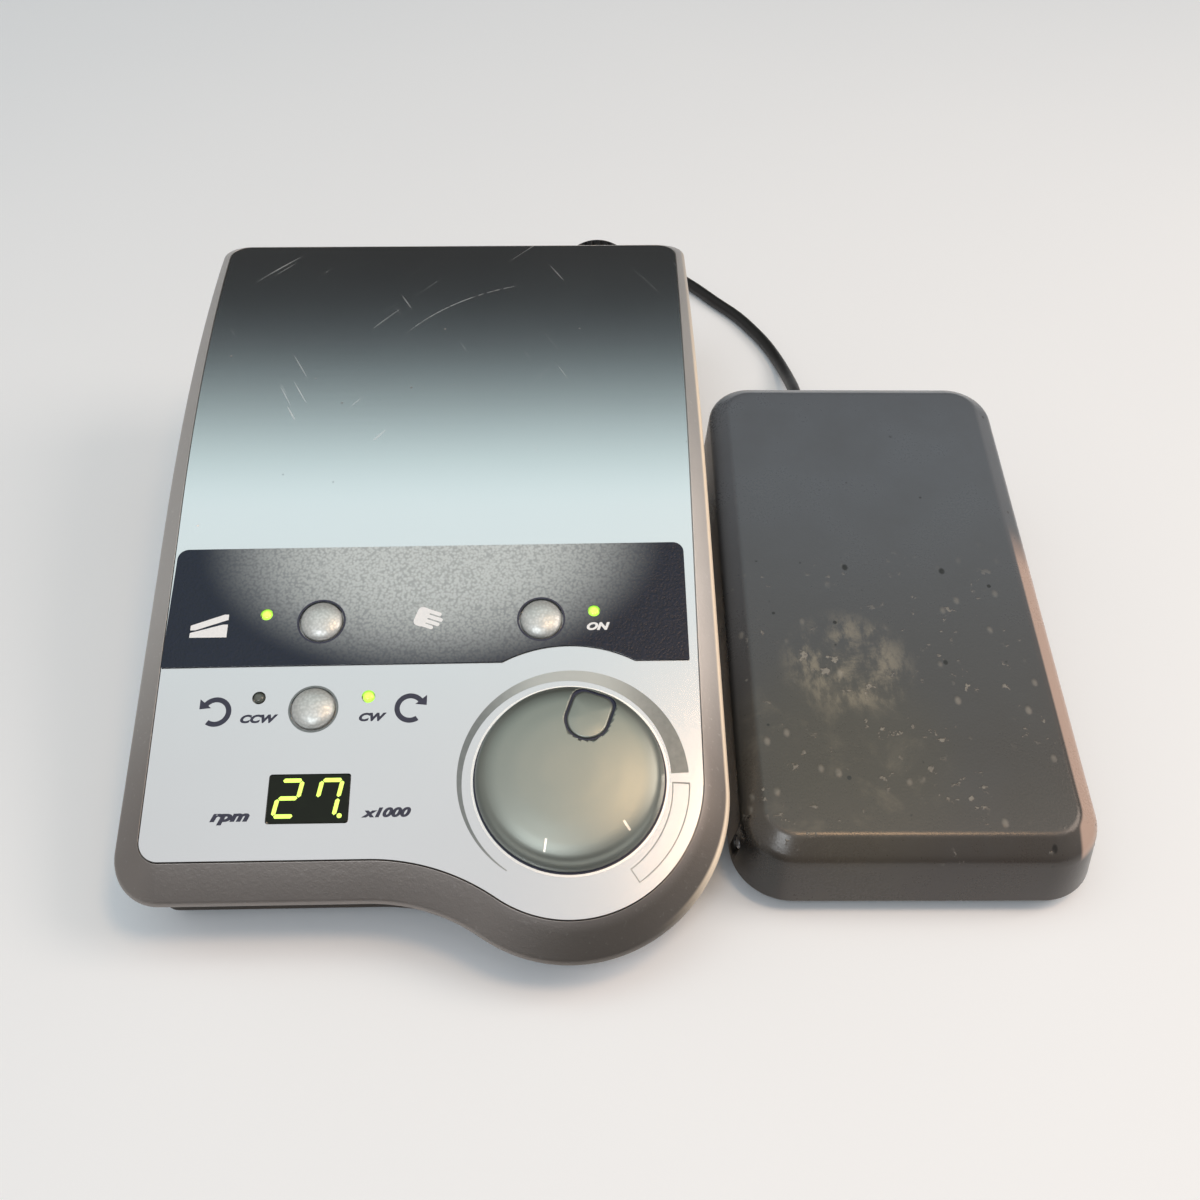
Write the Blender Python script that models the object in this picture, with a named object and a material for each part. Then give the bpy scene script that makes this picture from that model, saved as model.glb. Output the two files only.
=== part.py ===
"""Dental laboratory micromotor: a wedge-shaped control box and its foot pedal, joined by the pedal's cord.

Metres, +Z up, the user sits on the -Y side. The control box is laid out from a point on its centre line
below the front edge of its panel, and everything is moved at the end so that the origin lies at the middle
of the underside of the box and pedal. Each piece is one object, a moving piece has its origin on its axis.
"""

import math

import bmesh
import bpy
import numpy as np
from mathutils import Matrix, Vector

for old in list(bpy.data.objects):
    bpy.data.objects.remove(old)

# Clearances
GAP = 0.0003
RUN_FIT = 0.0004
CUT = 0.002

# Control box in plan: distances of the rim from the centre line and from the panel's front edge
RIM_LEFT = 0.078
RIM_RIGHT = 0.0797
RIM_RIGHT_REAR = 0.0785
RIM_FRONT = 0.0083
RIM_REAR = 0.211
CORNER_FRONT = 0.013
CORNER_REAR = 0.008
BULGE_RADIUS = 0.0418
SWEEP_RADIUS = 0.052
KNOB_X = 0.0379
KNOB_UP = 0.0195

# Control box from the side: a flat sloping front, then an arc that runs level at the rear
PANEL_FRONT_HEIGHT = 0.028
PANEL_SLOPE = math.radians(18.5)
REAR_SLOPE = math.radians(1.0)
FLAT_DEPTH = 0.095
BEVEL_FRONT = 0.0074
BEVEL_REAR = 0.0034
RIM_DROP_FRONT = 0.0055
RIM_DROP_REAR = 0.0028
RIM_UNDERCUT = 0.0035
RIM_ROUND = 0.0012
BODY_INSET = 0.0078
REAR_INSET = 0.002
SHELL_WALL = 0.0024
SEAM_HEIGHT = 0.009
FOOT_HEIGHT = 0.003
TRAY_FLOOR = 0.0022
TRAY_CHAMFER = 0.0012
TONGUE_RISE = 0.002
TONGUE_WALL = 0.0013
PANEL_PLATE = 0.0008
LABEL_PLATE = 0.0003
LABEL_LOW = 0.052
LABEL_HIGH = 0.0887
LABEL_HALF = 0.0705
LABEL_CORNER = 0.003
LABEL_NOTCH = 0.0373
LABEL_SHIFT = 0.0004

# Controls on the sloping panel: across from the centre line, and up the slope from its front edge
BUTTON_RADIUS = 0.0057
BUTTON_FLANGE = 0.0074
BUTTON_FLANGE_DEEP = 0.001
BUTTON_RISE = 0.0016
BUTTON_DOME = 0.0007
BUTTON_STEM = 0.002
BUTTON_TRAVEL = 0.0008
BUTTON_TOP_UP = 0.0647
BUTTON_HAND_X = -0.0295
BUTTON_MOTOR_X = 0.0304
BUTTON_TURN_UP = 0.0395
BUTTON_TURN_X = -0.0297
SWITCH_SIDE = 0.006
SWITCH_BODY = 0.0035
SWITCH_STEM = 0.0017
LED_RADIUS = 0.0015
LED_COLLAR = 0.0021
LED_RISE = 0.0006
LED_TOP_UP = 0.067
LED_HAND_X = -0.0446
LED_MOTOR_X = 0.0449
LED_TURN_UP = 0.0428
LED_REVERSE_X = -0.0443
LED_FORWARD_X = -0.0154
DISPLAY_X = -0.0289
DISPLAY_UP = 0.0151
DISPLAY_WIDTH = 0.0204
DISPLAY_DEPTH = 0.0125
DISPLAY_CORNER = 0.0008
DISPLAY_MARGIN = 0.0006
KNOB_RADIUS = 0.0245
KNOB_HEIGHT = 0.0075
KNOB_DOME = 0.0013
KNOB_EDGE = 0.0012
KNOB_WALL = 0.0022
KNOB_WEB = 0.0026
KNOB_HUB = 0.0058
KNOB_REST_TURN = math.radians(-19.0)
TONGUE_LENGTH = 0.0127
TONGUE_HALF = 0.0052
TONGUE_DEEP = 0.0016
SHAFT_RADIUS = 0.003
SHAFT_HOLE = 0.0045
POT_RADIUS = 0.0085
POT_DEEP = 0.0085
POT_NECK = 0.0038
POT_NECK_RISE = 0.0045
NUT_RADIUS = 0.0064
NUT_DEEP = 0.002
BOARD_LOW = 0.006
BOARD_HIGH = 0.074
BOARD_HALF = 0.06
BOARD_UNDER = 0.0112
BOARD_THICK = 0.0016
BOSS_RADIUS = 0.003
BOARD_BOSS_X = 0.056
BOARD_BOSS_EDGE = 0.006

# Inside the control box
MAIN_BOARD_LEFT = -0.064
MAIN_BOARD_RIGHT = 0.008
MAIN_BOARD_FRONT = 0.084
MAIN_BOARD_REAR = 0.18
MAIN_BOARD_STAND = 0.0038
CORE_X = 0.038
CORE_Y = 0.145
CORE_WIDTH = 0.056
CORE_THICK = 0.030
CORE_HEIGHT = 0.046
CORE_LIMB = 0.009
CORE_WINDOW = 0.010
WINDING_OUT = 0.009
SINK_X = -0.045
SINK_Y = 0.128
SINK_WIDTH = 0.026
SINK_LENGTH = 0.050
SINK_BASE = 0.003
SINK_FIN = 0.0014
SINK_FIN_HEIGHT = 0.020
SINK_FINS = 6
TRANSISTOR_WIDTH = 0.010
TRANSISTOR_HEIGHT = 0.016
TRANSISTOR_DEEP = 0.0045
CAPACITOR_RADIUS = 0.008
CAPACITOR_HEIGHT = 0.027
CAPACITOR_X = -0.010
CAPACITOR_Y = (0.110, 0.132)

# Rear panel, seen from behind: across to the right, and up from the table
REAR_PANEL_LEFT = -0.062
REAR_PANEL_RIGHT = 0.064
REAR_PANEL_LOW = 0.013
REAR_PANEL_HIGH = 0.0705
REAR_PANEL_THICK = 0.0015
REAR_PANEL_CORNER = 0.003
REAR_SEAT = 0.0025
INLET_X = 0.042
INLET_Z = 0.032
INLET_WIDTH = 0.027
INLET_HEIGHT = 0.0195
INLET_FLANGE = 0.0024
INLET_RIM = 0.0035
INLET_DEEP = 0.020
INLET_WALL = 0.0022
INLET_RECESS = 0.0155
INLET_CHAMFER = 0.005
PIN_WIDTH = 0.004
PIN_THICK = 0.002
PIN_PITCH = 0.007
PIN_SETBACK = 0.002
PIN_DROP = 0.002
ROCKER_X = 0.042
ROCKER_Z = 0.058
ROCKER_WIDTH = 0.011
ROCKER_LENGTH = 0.017
ROCKER_FRAME = 0.0024
ROCKER_RIM = 0.002
ROCKER_DEEP = 0.012
ROCKER_TILT = math.radians(11.0)
ROCKER_RISE = 0.0026
FUSE_X = 0.012
FUSE_Z = 0.030
FUSE_RADIUS = 0.0055
FUSE_FLANGE = 0.0075
FUSE_DEEP = 0.024
FUSE_CAP_RISE = 0.005
FUSE_CAP_RADIUS = 0.006
SOCKET_X = -0.049
SOCKET_Z = 0.0602
SOCKET_RADIUS = 0.013
SOCKET_FLANGE = 0.0098
SOCKET_BODY = 0.0055
SOCKET_COLLAR = 0.012
SOCKET_BORE = 0.0065
SOCKET_BORE_DEEP = 0.010
SOCKET_DEEP = 0.012
JACK_X = -0.050
JACK_Z = 0.030
JACK_RADIUS = 0.006
JACK_BODY = 0.0052
JACK_COLLAR = 0.005
JACK_BORE = 0.0035
JACK_DEEP = 0.014
JACK_BORE_DEEP = 0.012

# Rubber feet of the control box
FOOT_RADIUS = 0.0065
FOOT_STEM = 0.0019
FOOT_X = 0.058
FOOT_FRONT_Y = 0.016
FOOT_REAR_Y = 0.192

# Foot pedal, from the middle of its front edge
PEDAL_X = 0.1297
PEDAL_Y = -0.002
PEDAL_TURN = math.radians(-1.0)
PEDAL_HALF = 0.0492
PEDAL_LENGTH = 0.175
PEDAL_CORNER = 0.016
PEDAL_FRONT_TOP = 0.0235
PEDAL_REAR_TOP = 0.0495
PEDAL_RIM_FRONT = 0.005
PEDAL_RIM_REAR = 0.0165
PEDAL_SHOULDER = 0.0065
PEDAL_DRAFT = 0.0022
PEDAL_EDGE = 0.007
PEDAL_WALL = 0.0025
PEDAL_PRESS = math.radians(4.5)
PEDAL_BASE_CLEAR = 0.0016
PEDAL_BASE_LOW = 0.003
PEDAL_BASE_FLOOR = 0.0025
PEDAL_BASE_WALL = 0.0022
PEDAL_BASE_FRONT_TOP = 0.0085
PEDAL_BASE_REAR_TOP = 0.0205
PIN_Y = 0.013
PIN_Z = 0.0135
PIN_RADIUS = 0.0018
PIN_HALF = 0.0478
LUG_X = 0.036
LUG_WIDTH = 0.006
LUG_LENGTH = 0.008
LUG_TOP = 0.0172
SPRING_X = 0.028
SPRING_BACK = 0.047
SPRING_RADIUS = 0.006
SPRING_WIRE = 0.0007
SPRING_TURNS = 6
SPRING_TURN_POINTS = 8
SPRING_PAD_LOW = 0.0365
SPRING_PAD_RADIUS = 0.0082
SPRING_GUIDE = 0.0042
SPRING_GUIDE_RISE = 0.006
STOP_BACK = 0.017
STOP_RADIUS = 0.006
STOP_POST_TOP = 0.0292
STOP_BUFFER = 0.003
MAGNET_BACK = 0.067
MAGNET_WIDTH = 0.006
MAGNET_LENGTH = 0.010
MAGNET_LOW = 0.022
SENSOR_WIDTH = 0.0016
SENSOR_LENGTH = 0.024
SENSOR_TOP = 0.027
SENSOR_SIDE = 0.0065
STRIP_WIDTH = 0.070
STRIP_LENGTH = 0.012
STRIP_EDGE = 0.020
RELIEF_X = -0.0085
RELIEF_Z = 0.0125
RELIEF_RADIUS = 0.0048
RELIEF_END = 0.0033
RELIEF_LENGTH = 0.026
RELIEF_FLANGE = 0.0062
RELIEF_RIBS = 5
NOTCH_HALF = 0.0072
NOTCH_TOP = 0.033

# Pedal cord: its plug, the coil behind the box, and the run to the pedal
CORD_RADIUS = 0.0024
PLUG_RADIUS = 0.0056
PLUG_LENGTH = 0.030
PLUG_TIP = 0.0031
PLUG_TIP_LENGTH = 0.009
COIL_X = -0.016
COIL_Y = 0.276
COIL_INNER = 0.0175
COIL_PITCH = 0.0054
COIL_TURNS = 7.75
COIL_LOOP_POINTS = 24
COIL_LAYER = 0.0053
COIL_LOW = 0.0026
CORD_STEP = 0.0098

# Places along the pedal, from its rear edge
SPRING_Y = PEDAL_LENGTH - SPRING_BACK
STOP_Y = PEDAL_LENGTH - STOP_BACK
MAGNET_Y = PEDAL_LENGTH - MAGNET_BACK

# Shares chosen by hand
TRAY_BOSS_SHARES = ((0.15, 0.12), (0.15, 0.88), (0.88, 0.12), (0.88, 0.88))
SIDE_STEP_SHARES = (0.0, 0.14, 0.28, 0.42, 0.56, 0.70, 0.84, 1.0)
VENT_SHARES = (0.30, 0.38, 0.46, 0.54, 0.62, 0.70)
FULL_TURN = 2 * math.pi


# Looks
def look(name, color, roughness, metallic=0.0, alpha=1.0):
    made = bpy.data.materials.new(name)
    made.use_nodes = True
    shader = made.node_tree.nodes["Principled BSDF"]
    shader.inputs["Base Color"].default_value = (*color, 1.0)
    shader.inputs["Roughness"].default_value = roughness
    shader.inputs["Metallic"].default_value = metallic
    shader.inputs["Alpha"].default_value = alpha
    return made


SHELL_GREY = look("shell_grey", (0.17, 0.165, 0.17), 0.42)
PANEL_SILVER = look("panel_silver", (0.62, 0.65, 0.66), 0.32, 0.55)
LABEL_NAVY = look("label_navy", (0.018, 0.027, 0.052), 0.35)
KNOB_SILVER = look("knob_silver", (0.42, 0.43, 0.41), 0.34, 0.85)
BUTTON_SILVER = look("button_silver", (0.48, 0.50, 0.50), 0.36, 0.7)
LED_GREEN = look("led_green", (0.35, 0.85, 0.08), 0.2)
LED_DARK = look("led_dark", (0.10, 0.11, 0.10), 0.25)
WINDOW_DARK = look("window_dark", (0.01, 0.012, 0.01), 0.12, alpha=0.75)
PLASTIC_BLACK = look("plastic_black", (0.015, 0.015, 0.015), 0.45)
RUBBER_BLACK = look("rubber_black", (0.02, 0.02, 0.02), 0.75)
BOARD_GREEN = look("board_green", (0.02, 0.11, 0.05), 0.4)
STEEL = look("steel", (0.45, 0.45, 0.46), 0.3, 1.0)
ALUMINIUM = look("aluminium", (0.62, 0.63, 0.64), 0.35, 1.0)
COPPER = look("copper", (0.55, 0.24, 0.10), 0.35, 1.0)
SLEEVE_BLUE = look("sleeve_blue", (0.03, 0.06, 0.16), 0.35)
PEDAL_GREY = look("pedal_grey", (0.115, 0.125, 0.14), 0.38)
PEDAL_DARK = look("pedal_dark", (0.03, 0.03, 0.032), 0.5)


# Frames
def frame(name, parent=None, at=(0, 0, 0), turn=(0, 0, 0)):
    empty = bpy.data.objects.new(name, None)
    bpy.context.scene.collection.objects.link(empty)
    empty.parent = parent
    empty.location = at
    empty.rotation_euler = turn
    return empty


REAR_WALL = RIM_REAR - REAR_INSET
ASSEMBLY = frame("assembly")
PANEL = frame("panel_frame", ASSEMBLY, (0, 0, PANEL_FRONT_HEIGHT), (PANEL_SLOPE, 0, 0))
REAR = frame("rear_frame", ASSEMBLY, (0, REAR_WALL, 0), (math.pi / 2, 0, math.pi))
PEDAL = frame("pedal_frame", ASSEMBLY, (PEDAL_X, PEDAL_Y, 0), (0, 0, PEDAL_TURN))


# Outlines, counter-clockwise from above
def arc(centre, radius, start, end, count):
    angles = np.radians(np.linspace(start, end, count))
    return [(centre[0] + radius * math.cos(a), centre[1] + radius * math.sin(a)) for a in angles]


def disc(radius, count=24):
    return arc((0, 0), radius, 0, 360, count + 1)[:-1]


def rounded(width, depth, corner, centre=(0, 0), count=5):
    across = width / 2 - corner
    along = depth / 2 - corner
    points = []
    for i, (sx, sy) in enumerate(((1, 1), (-1, 1), (-1, -1), (1, -1))):
        middle = (centre[0] + sx * across, centre[1] + sy * along)
        points += arc(middle, corner, 90 * i, 90 * i + 90, count)
    return points


def rectangle(width, depth, centre=(0, 0)):
    corners = ((0.5, 0.5), (-0.5, 0.5), (-0.5, -0.5), (0.5, -0.5))
    return [(centre[0] + width * x, centre[1] + depth * y) for x, y in corners]


# Meshes
def mesh_of(name, points, faces):
    mesh = bpy.data.meshes.new(name)
    mesh.from_pydata([tuple(p) for p in points], [], faces)
    work = bmesh.new()
    work.from_mesh(mesh)
    bmesh.ops.recalc_face_normals(work, faces=work.faces)
    work.to_mesh(mesh)
    work.free()
    mesh.shade_smooth()
    mesh.set_sharp_from_angle(angle=math.radians(32))
    return mesh


def loft(name, rings, ends=(None, None)):
    """A closed skin through rings of points; each end is one flat face, or the faces given as corner indices."""
    count = len(rings[0])
    points = [p for ring in rings for p in ring]
    faces = []
    for level in range(len(rings) - 1):
        for i in range(count):
            j = (i + 1) % count
            low = level * count
            faces.append((low + i, low + j, low + count + j, low + count + i))
    top = (len(rings) - 1) * count
    faces += [f[::-1] for f in (ends[0] or [tuple(range(count))])]
    faces += [tuple(top + i for i in f) for f in (ends[1] or [tuple(range(count))])]
    return mesh_of(name, points, faces)


def level(outline, height):
    return [(x, y, height) for x, y in outline]


def prism(name, outline, low, high):
    return loft(name, [level(outline, low), level(outline, high)])


def turned(name, profile, sides=24):
    """A body turned round Z from (radius, height) pairs that begin and end on the axis."""
    points = [(0, 0, profile[0][1])]
    for radius, height in profile[1:-1]:
        points += level(disc(radius, sides), height)
    points.append((0, 0, profile[-1][1]))
    last = len(points) - 1
    faces = []
    for i in range(sides):
        j = (i + 1) % sides
        faces.append((0, 1 + j, 1 + i))
        for ring in range(len(profile) - 3):
            low = 1 + ring * sides
            faces.append((low + i, low + j, low + sides + j, low + sides + i))
        low = 1 + (len(profile) - 3) * sides
        faces.append((low + i, low + j, last))
    return mesh_of(name, points, faces)


# Objects
def piece(name, mesh, material, parent=ASSEMBLY, at=(0, 0, 0), turn=(0, 0, 0)):
    obj = bpy.data.objects.new(name, mesh)
    bpy.context.scene.collection.objects.link(obj)
    obj.parent = parent
    obj.location = at
    obj.rotation_euler = turn
    if material:
        mesh.materials.append(material)
    return obj


def shape(target, operation, name, mesh, parent=ASSEMBLY, at=(0, 0, 0), turn=(0, 0, 0)):
    """Cuts a mesh from the target, or joins it on, by a Boolean whose operand stays as a hidden helper."""
    helper = piece(f"{target.name}_{name}", mesh, None, parent, at, turn)
    helper.hide_render = True
    helper.display_type = "WIRE"
    boolean = target.modifiers.new(name, "BOOLEAN")
    boolean.operation = operation
    boolean.object = helper


def cut(target, name, mesh, parent=ASSEMBLY, at=(0, 0, 0), turn=(0, 0, 0)):
    shape(target, "DIFFERENCE", name, mesh, parent, at, turn)


def join(target, name, mesh, parent=ASSEMBLY, at=(0, 0, 0), turn=(0, 0, 0)):
    shape(target, "UNION", name, mesh, parent, at, turn)


# Control box: the plan outlines and the height of the top
KNOB_Y = KNOB_UP * math.cos(PANEL_SLOPE)
ARC_RADIUS = (RIM_REAR - FLAT_DEPTH) / (math.sin(PANEL_SLOPE) - math.sin(REAR_SLOPE))
SIDE_REAR_Y = RIM_REAR - CORNER_REAR - REAR_INSET
CORNER_POINTS = 5
STRIP_POINTS = CORNER_POINTS + len(SIDE_STEP_SHARES) - 1


def top_height(y):
    """Height of the panel: a straight slope, then an arc tangent to it."""
    flat = min(y, FLAT_DEPTH)
    past = max(y - FLAT_DEPTH, 0)
    angle = math.asin(math.sin(PANEL_SLOPE) - past / ARC_RADIUS)
    rise = ARC_RADIUS * (math.cos(angle) - math.cos(PANEL_SLOPE))
    return PANEL_FRONT_HEIGHT + flat * math.tan(PANEL_SLOPE) + rise


def plan(inset, rear_inset):
    """The box seen from above, set in from its rim. Left and right sides have points at the same depths."""
    left = -RIM_LEFT + inset
    right = RIM_RIGHT_REAR - inset
    front = -RIM_FRONT + inset
    rear = RIM_REAR - rear_inset
    corner = CORNER_REAR * 0.75
    nose = max(CORNER_FRONT - inset, CORNER_FRONT / 4)
    bulge = BULGE_RADIUS - inset
    sweep = SWEEP_RADIUS + inset
    rise = KNOB_Y - front + sweep
    sweep_x = KNOB_X - math.sqrt((bulge + sweep) ** 2 - rise**2)
    meeting = math.degrees(math.atan2(rise, KNOB_X - sweep_x))
    depths = [SIDE_REAR_Y + (FLAT_DEPTH - SIDE_REAR_Y) * t for t in SIDE_STEP_SHARES]
    points = arc((left + corner, rear - corner), corner, 90, 180, CORNER_POINTS)
    points += [(left, y) for y in depths[1:]]
    points += [(left, FLAT_DEPTH * 0.6), (left, KNOB_Y)]
    points += arc((left + nose, front + nose), nose, 180, 270, 5)
    points += arc((sweep_x, front - sweep), sweep, 90, meeting, 7)
    points += arc((KNOB_X, KNOB_Y), bulge, 180 + meeting, 360, 14)[1:]
    edge = KNOB_X + bulge
    slant = (right - edge) / (SIDE_REAR_Y - KNOB_Y)
    points += [(edge + slant * (y - KNOB_Y), y) for y in [FLAT_DEPTH * 0.6] + depths[:0:-1]]
    points += arc((right - corner, rear - corner), corner, 0, 90, CORNER_POINTS)
    return points


def panel_plan(inset=0.0):
    """The edge of the panel: the bevel between it and the rim narrows towards the rear."""
    wide = plan(BEVEL_FRONT + inset, BEVEL_REAR + inset)
    narrow = plan(BEVEL_REAR + inset, BEVEL_REAR + inset)
    points = []
    for (xa, ya), (xb, yb) in zip(wide, narrow):
        t = min(max(ya / SIDE_REAR_Y, 0), 1)
        points.append((xa + (xb - xa) * t, ya + (yb - ya) * t))
    return points


def strip_faces(count, corner=CORNER_POINTS, strips=STRIP_POINTS):
    """Faces of a cap that is flat in front of FLAT_DEPTH and runs in strips across the arched part."""
    faces = [tuple(range(strips - 1, count - strips + 1))]
    faces += [(i, i + 1, count - 2 - i, count - 1 - i) for i in range(strips - 1)]
    return faces


def on_top(outline, drop):
    return [(x, y, top_height(y) - drop) for x, y in outline]


def rim_drop(y):
    t = min(max(y / SIDE_REAR_Y, 0), 1)
    return RIM_DROP_FRONT + (RIM_DROP_REAR - RIM_DROP_FRONT) * t


def below_rim(outline, drop):
    return [(x, y, top_height(y) - rim_drop(y) - drop) for x, y in outline]


RIM_PLAN = plan(0.0, 0.0)
BODY_PLAN = plan(BODY_INSET, REAR_INSET)
CAP_FACES = strip_faces(len(RIM_PLAN))


# Control box: upper housing, one moulded shell with an overhanging bevelled rim
def build_upper_housing():
    inner = plan(BODY_INSET + SHELL_WALL, REAR_INSET + SHELL_WALL)
    recess = PANEL_PLATE + GAP
    rings = [
        on_top(inner, recess + SHELL_WALL),
        level(inner, SEAM_HEIGHT),
        level(BODY_PLAN, SEAM_HEIGHT),
        below_rim(BODY_PLAN, RIM_UNDERCUT),
        below_rim(plan(RIM_ROUND / 3, RIM_ROUND / 3), RIM_ROUND),
        below_rim(RIM_PLAN, RIM_ROUND / 3),
        below_rim(plan(RIM_ROUND / 4, RIM_ROUND / 4), -RIM_ROUND / 2),
        on_top(panel_plan(), 0),
        on_top(panel_plan(), recess),
    ]
    housing = piece("upper_housing", loft("upper_housing", rings, (CAP_FACES, CAP_FACES)), SHELL_GREY)
    posts = [
        (side * BOARD_BOSS_X, up)
        for side in (-1, 1)
        for up in (BOARD_LOW + BOARD_BOSS_EDGE, BOARD_HIGH - BOARD_BOSS_EDGE)
    ]
    root = recess + SHELL_WALL / 2
    for i, (x, up) in enumerate(posts):
        boss = prism("boss", disc(BOSS_RADIUS, 12), -BOARD_UNDER + GAP, -root)
        join(housing, f"boss_{i}", boss, PANEL, (x, up, 0))
    reach = recess + SHELL_WALL + CUT
    for name, (x, up) in BUTTON_PLACES.items():
        cut(housing, name, prism("hole", disc(BUTTON_RADIUS + RUN_FIT), -reach, CUT), PANEL, (x, up, 0))
    for name, (x, up, _) in LED_PLACES.items():
        cut(housing, name, prism("hole", disc(LED_COLLAR + RUN_FIT, 12), -reach, CUT), PANEL, (x, up, 0))
    cut(housing, "shaft_hole", prism("hole", disc(SHAFT_HOLE), -reach, CUT), PANEL, (KNOB_X, KNOB_UP, 0))
    window = rounded(
        DISPLAY_WIDTH + 2 * DISPLAY_MARGIN + 2 * RUN_FIT,
        DISPLAY_DEPTH + 2 * DISPLAY_MARGIN + 2 * RUN_FIT,
        DISPLAY_CORNER,
    )
    cut(housing, "window_hole", prism("hole", window, -reach, CUT), PANEL, (DISPLAY_X, DISPLAY_UP, 0))
    opening = rounded(
        REAR_PANEL_RIGHT - REAR_PANEL_LEFT - 2 * REAR_SEAT,
        REAR_PANEL_HIGH - REAR_PANEL_LOW - 2 * REAR_SEAT,
        REAR_PANEL_CORNER,
        ((REAR_PANEL_LEFT + REAR_PANEL_RIGHT) / 2, (REAR_PANEL_LOW + REAR_PANEL_HIGH) / 2),
    )
    cut(housing, "rear_opening", prism("hole", opening, -SHELL_WALL - CUT, CUT), REAR)
    return housing


def build_base_tray():
    lip = BODY_INSET + SHELL_WALL + GAP
    lip_rear = REAR_INSET + SHELL_WALL + GAP
    outside = plan(lip, lip_rear)
    inside = plan(lip + TONGUE_WALL, lip_rear + TONGUE_WALL)
    seam = SEAM_HEIGHT - GAP
    rings = [
        level(plan(BODY_INSET + TRAY_CHAMFER, REAR_INSET + TRAY_CHAMFER), FOOT_HEIGHT),
        level(BODY_PLAN, FOOT_HEIGHT + TRAY_CHAMFER),
        level(BODY_PLAN, seam),
        level(outside, seam),
        level(outside, seam + TONGUE_RISE),
        level(inside, seam + TONGUE_RISE),
        level(inside, FOOT_HEIGHT + TRAY_FLOOR),
    ]
    tray = piece("base_tray", loft("base_tray", rings), PLASTIC_BLACK)
    floor = FOOT_HEIGHT + TRAY_FLOOR
    width = MAIN_BOARD_RIGHT - MAIN_BOARD_LEFT
    depth = MAIN_BOARD_REAR - MAIN_BOARD_FRONT
    for i, (u, v) in enumerate(TRAY_BOSS_SHARES):
        boss = prism("boss", disc(BOSS_RADIUS, 12), floor - TRAY_FLOOR / 2, floor + MAIN_BOARD_STAND)
        at = (MAIN_BOARD_LEFT + u * width, MAIN_BOARD_FRONT + v * depth, 0)
        join(tray, f"boss_{i}", boss, ASSEMBLY, at)
    for i, (x, y) in enumerate(FOOT_PLACES):
        hole = prism("hole", disc(FOOT_STEM + GAP, 12), FOOT_HEIGHT - CUT, floor + CUT)
        cut(tray, f"foot_hole_{i}", hole, ASSEMBLY, (x, y, 0))
    for i, share in enumerate(VENT_SHARES):
        slot = rounded(width / 2, BOSS_RADIUS, BOSS_RADIUS / 2.2, count=4)
        at = (CORE_X - CORE_WIDTH / 8, FLAT_DEPTH * share, 0)
        cut(tray, f"vent_{i}", prism("slot", slot, FOOT_HEIGHT - CUT, floor + CUT), ASSEMBLY, at)
    return tray


def build_top_panel():
    edge = panel_plan(GAP)
    rings = [on_top(edge, PANEL_PLATE), on_top(edge, 0)]
    panel = piece("top_panel", loft("top_panel", rings, (CAP_FACES, CAP_FACES)), PANEL_SILVER)
    reach = PANEL_PLATE + CUT
    for name, (x, up) in BUTTON_PLACES.items():
        cut(panel, name, prism("hole", disc(BUTTON_RADIUS + RUN_FIT), -reach, CUT), PANEL, (x, up, 0))
    for name, (x, up, _) in LED_PLACES.items():
        cut(panel, name, prism("hole", disc(LED_RADIUS + GAP, 12), -reach, CUT), PANEL, (x, up, 0))
    cut(panel, "shaft_hole", prism("hole", disc(SHAFT_HOLE), -reach, CUT), PANEL, (KNOB_X, KNOB_UP, 0))
    window = rounded(DISPLAY_WIDTH + 2 * GAP, DISPLAY_DEPTH + 2 * GAP, DISPLAY_CORNER)
    cut(panel, "window_hole", prism("hole", window, -reach, CUT), PANEL, (DISPLAY_X, DISPLAY_UP, 0))


def build_label_plate():
    """The navy band across the panel, its lower edge notched round the dial."""
    middle = (LABEL_SHIFT, (LABEL_LOW + LABEL_HIGH) / 2)
    outline = rounded(2 * LABEL_HALF, LABEL_HIGH - LABEL_LOW, LABEL_CORNER, middle, 4)
    label = piece("label_plate", prism("label_plate", outline, GAP, GAP + LABEL_PLATE), LABEL_NAVY, PANEL)
    cut(label, "dial_notch", prism("notch", disc(LABEL_NOTCH, 64), -CUT, CUT), PANEL, (KNOB_X, KNOB_UP, 0))
    for name, (x, up) in BUTTON_PLACES.items():
        if up > LABEL_LOW:
            cut(label, name, prism("hole", disc(BUTTON_RADIUS + RUN_FIT), -CUT, CUT), PANEL, (x, up, 0))
    for name, (x, up, _) in LED_PLACES.items():
        if up > LABEL_LOW:
            cut(label, name, prism("hole", disc(LED_RADIUS + GAP, 12), -CUT, CUT), PANEL, (x, up, 0))


# Controls
BUTTON_PLACES = {
    "button_hand_foot": (BUTTON_HAND_X, BUTTON_TOP_UP),
    "button_motor": (BUTTON_MOTOR_X, BUTTON_TOP_UP),
    "button_direction": (BUTTON_TURN_X, BUTTON_TURN_UP),
}
LED_PLACES = {
    "led_hand_foot": (LED_HAND_X, LED_TOP_UP, LED_GREEN),
    "led_motor": (LED_MOTOR_X, LED_TOP_UP, LED_GREEN),
    "led_reverse": (LED_REVERSE_X, LED_TURN_UP, LED_DARK),
    "led_forward": (LED_FORWARD_X, LED_TURN_UP, LED_GREEN),
}
INNER_FACE = (PANEL_PLATE + GAP + SHELL_WALL) * math.cos(PANEL_SLOPE)
BOARD_TOP = -BOARD_UNDER


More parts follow.
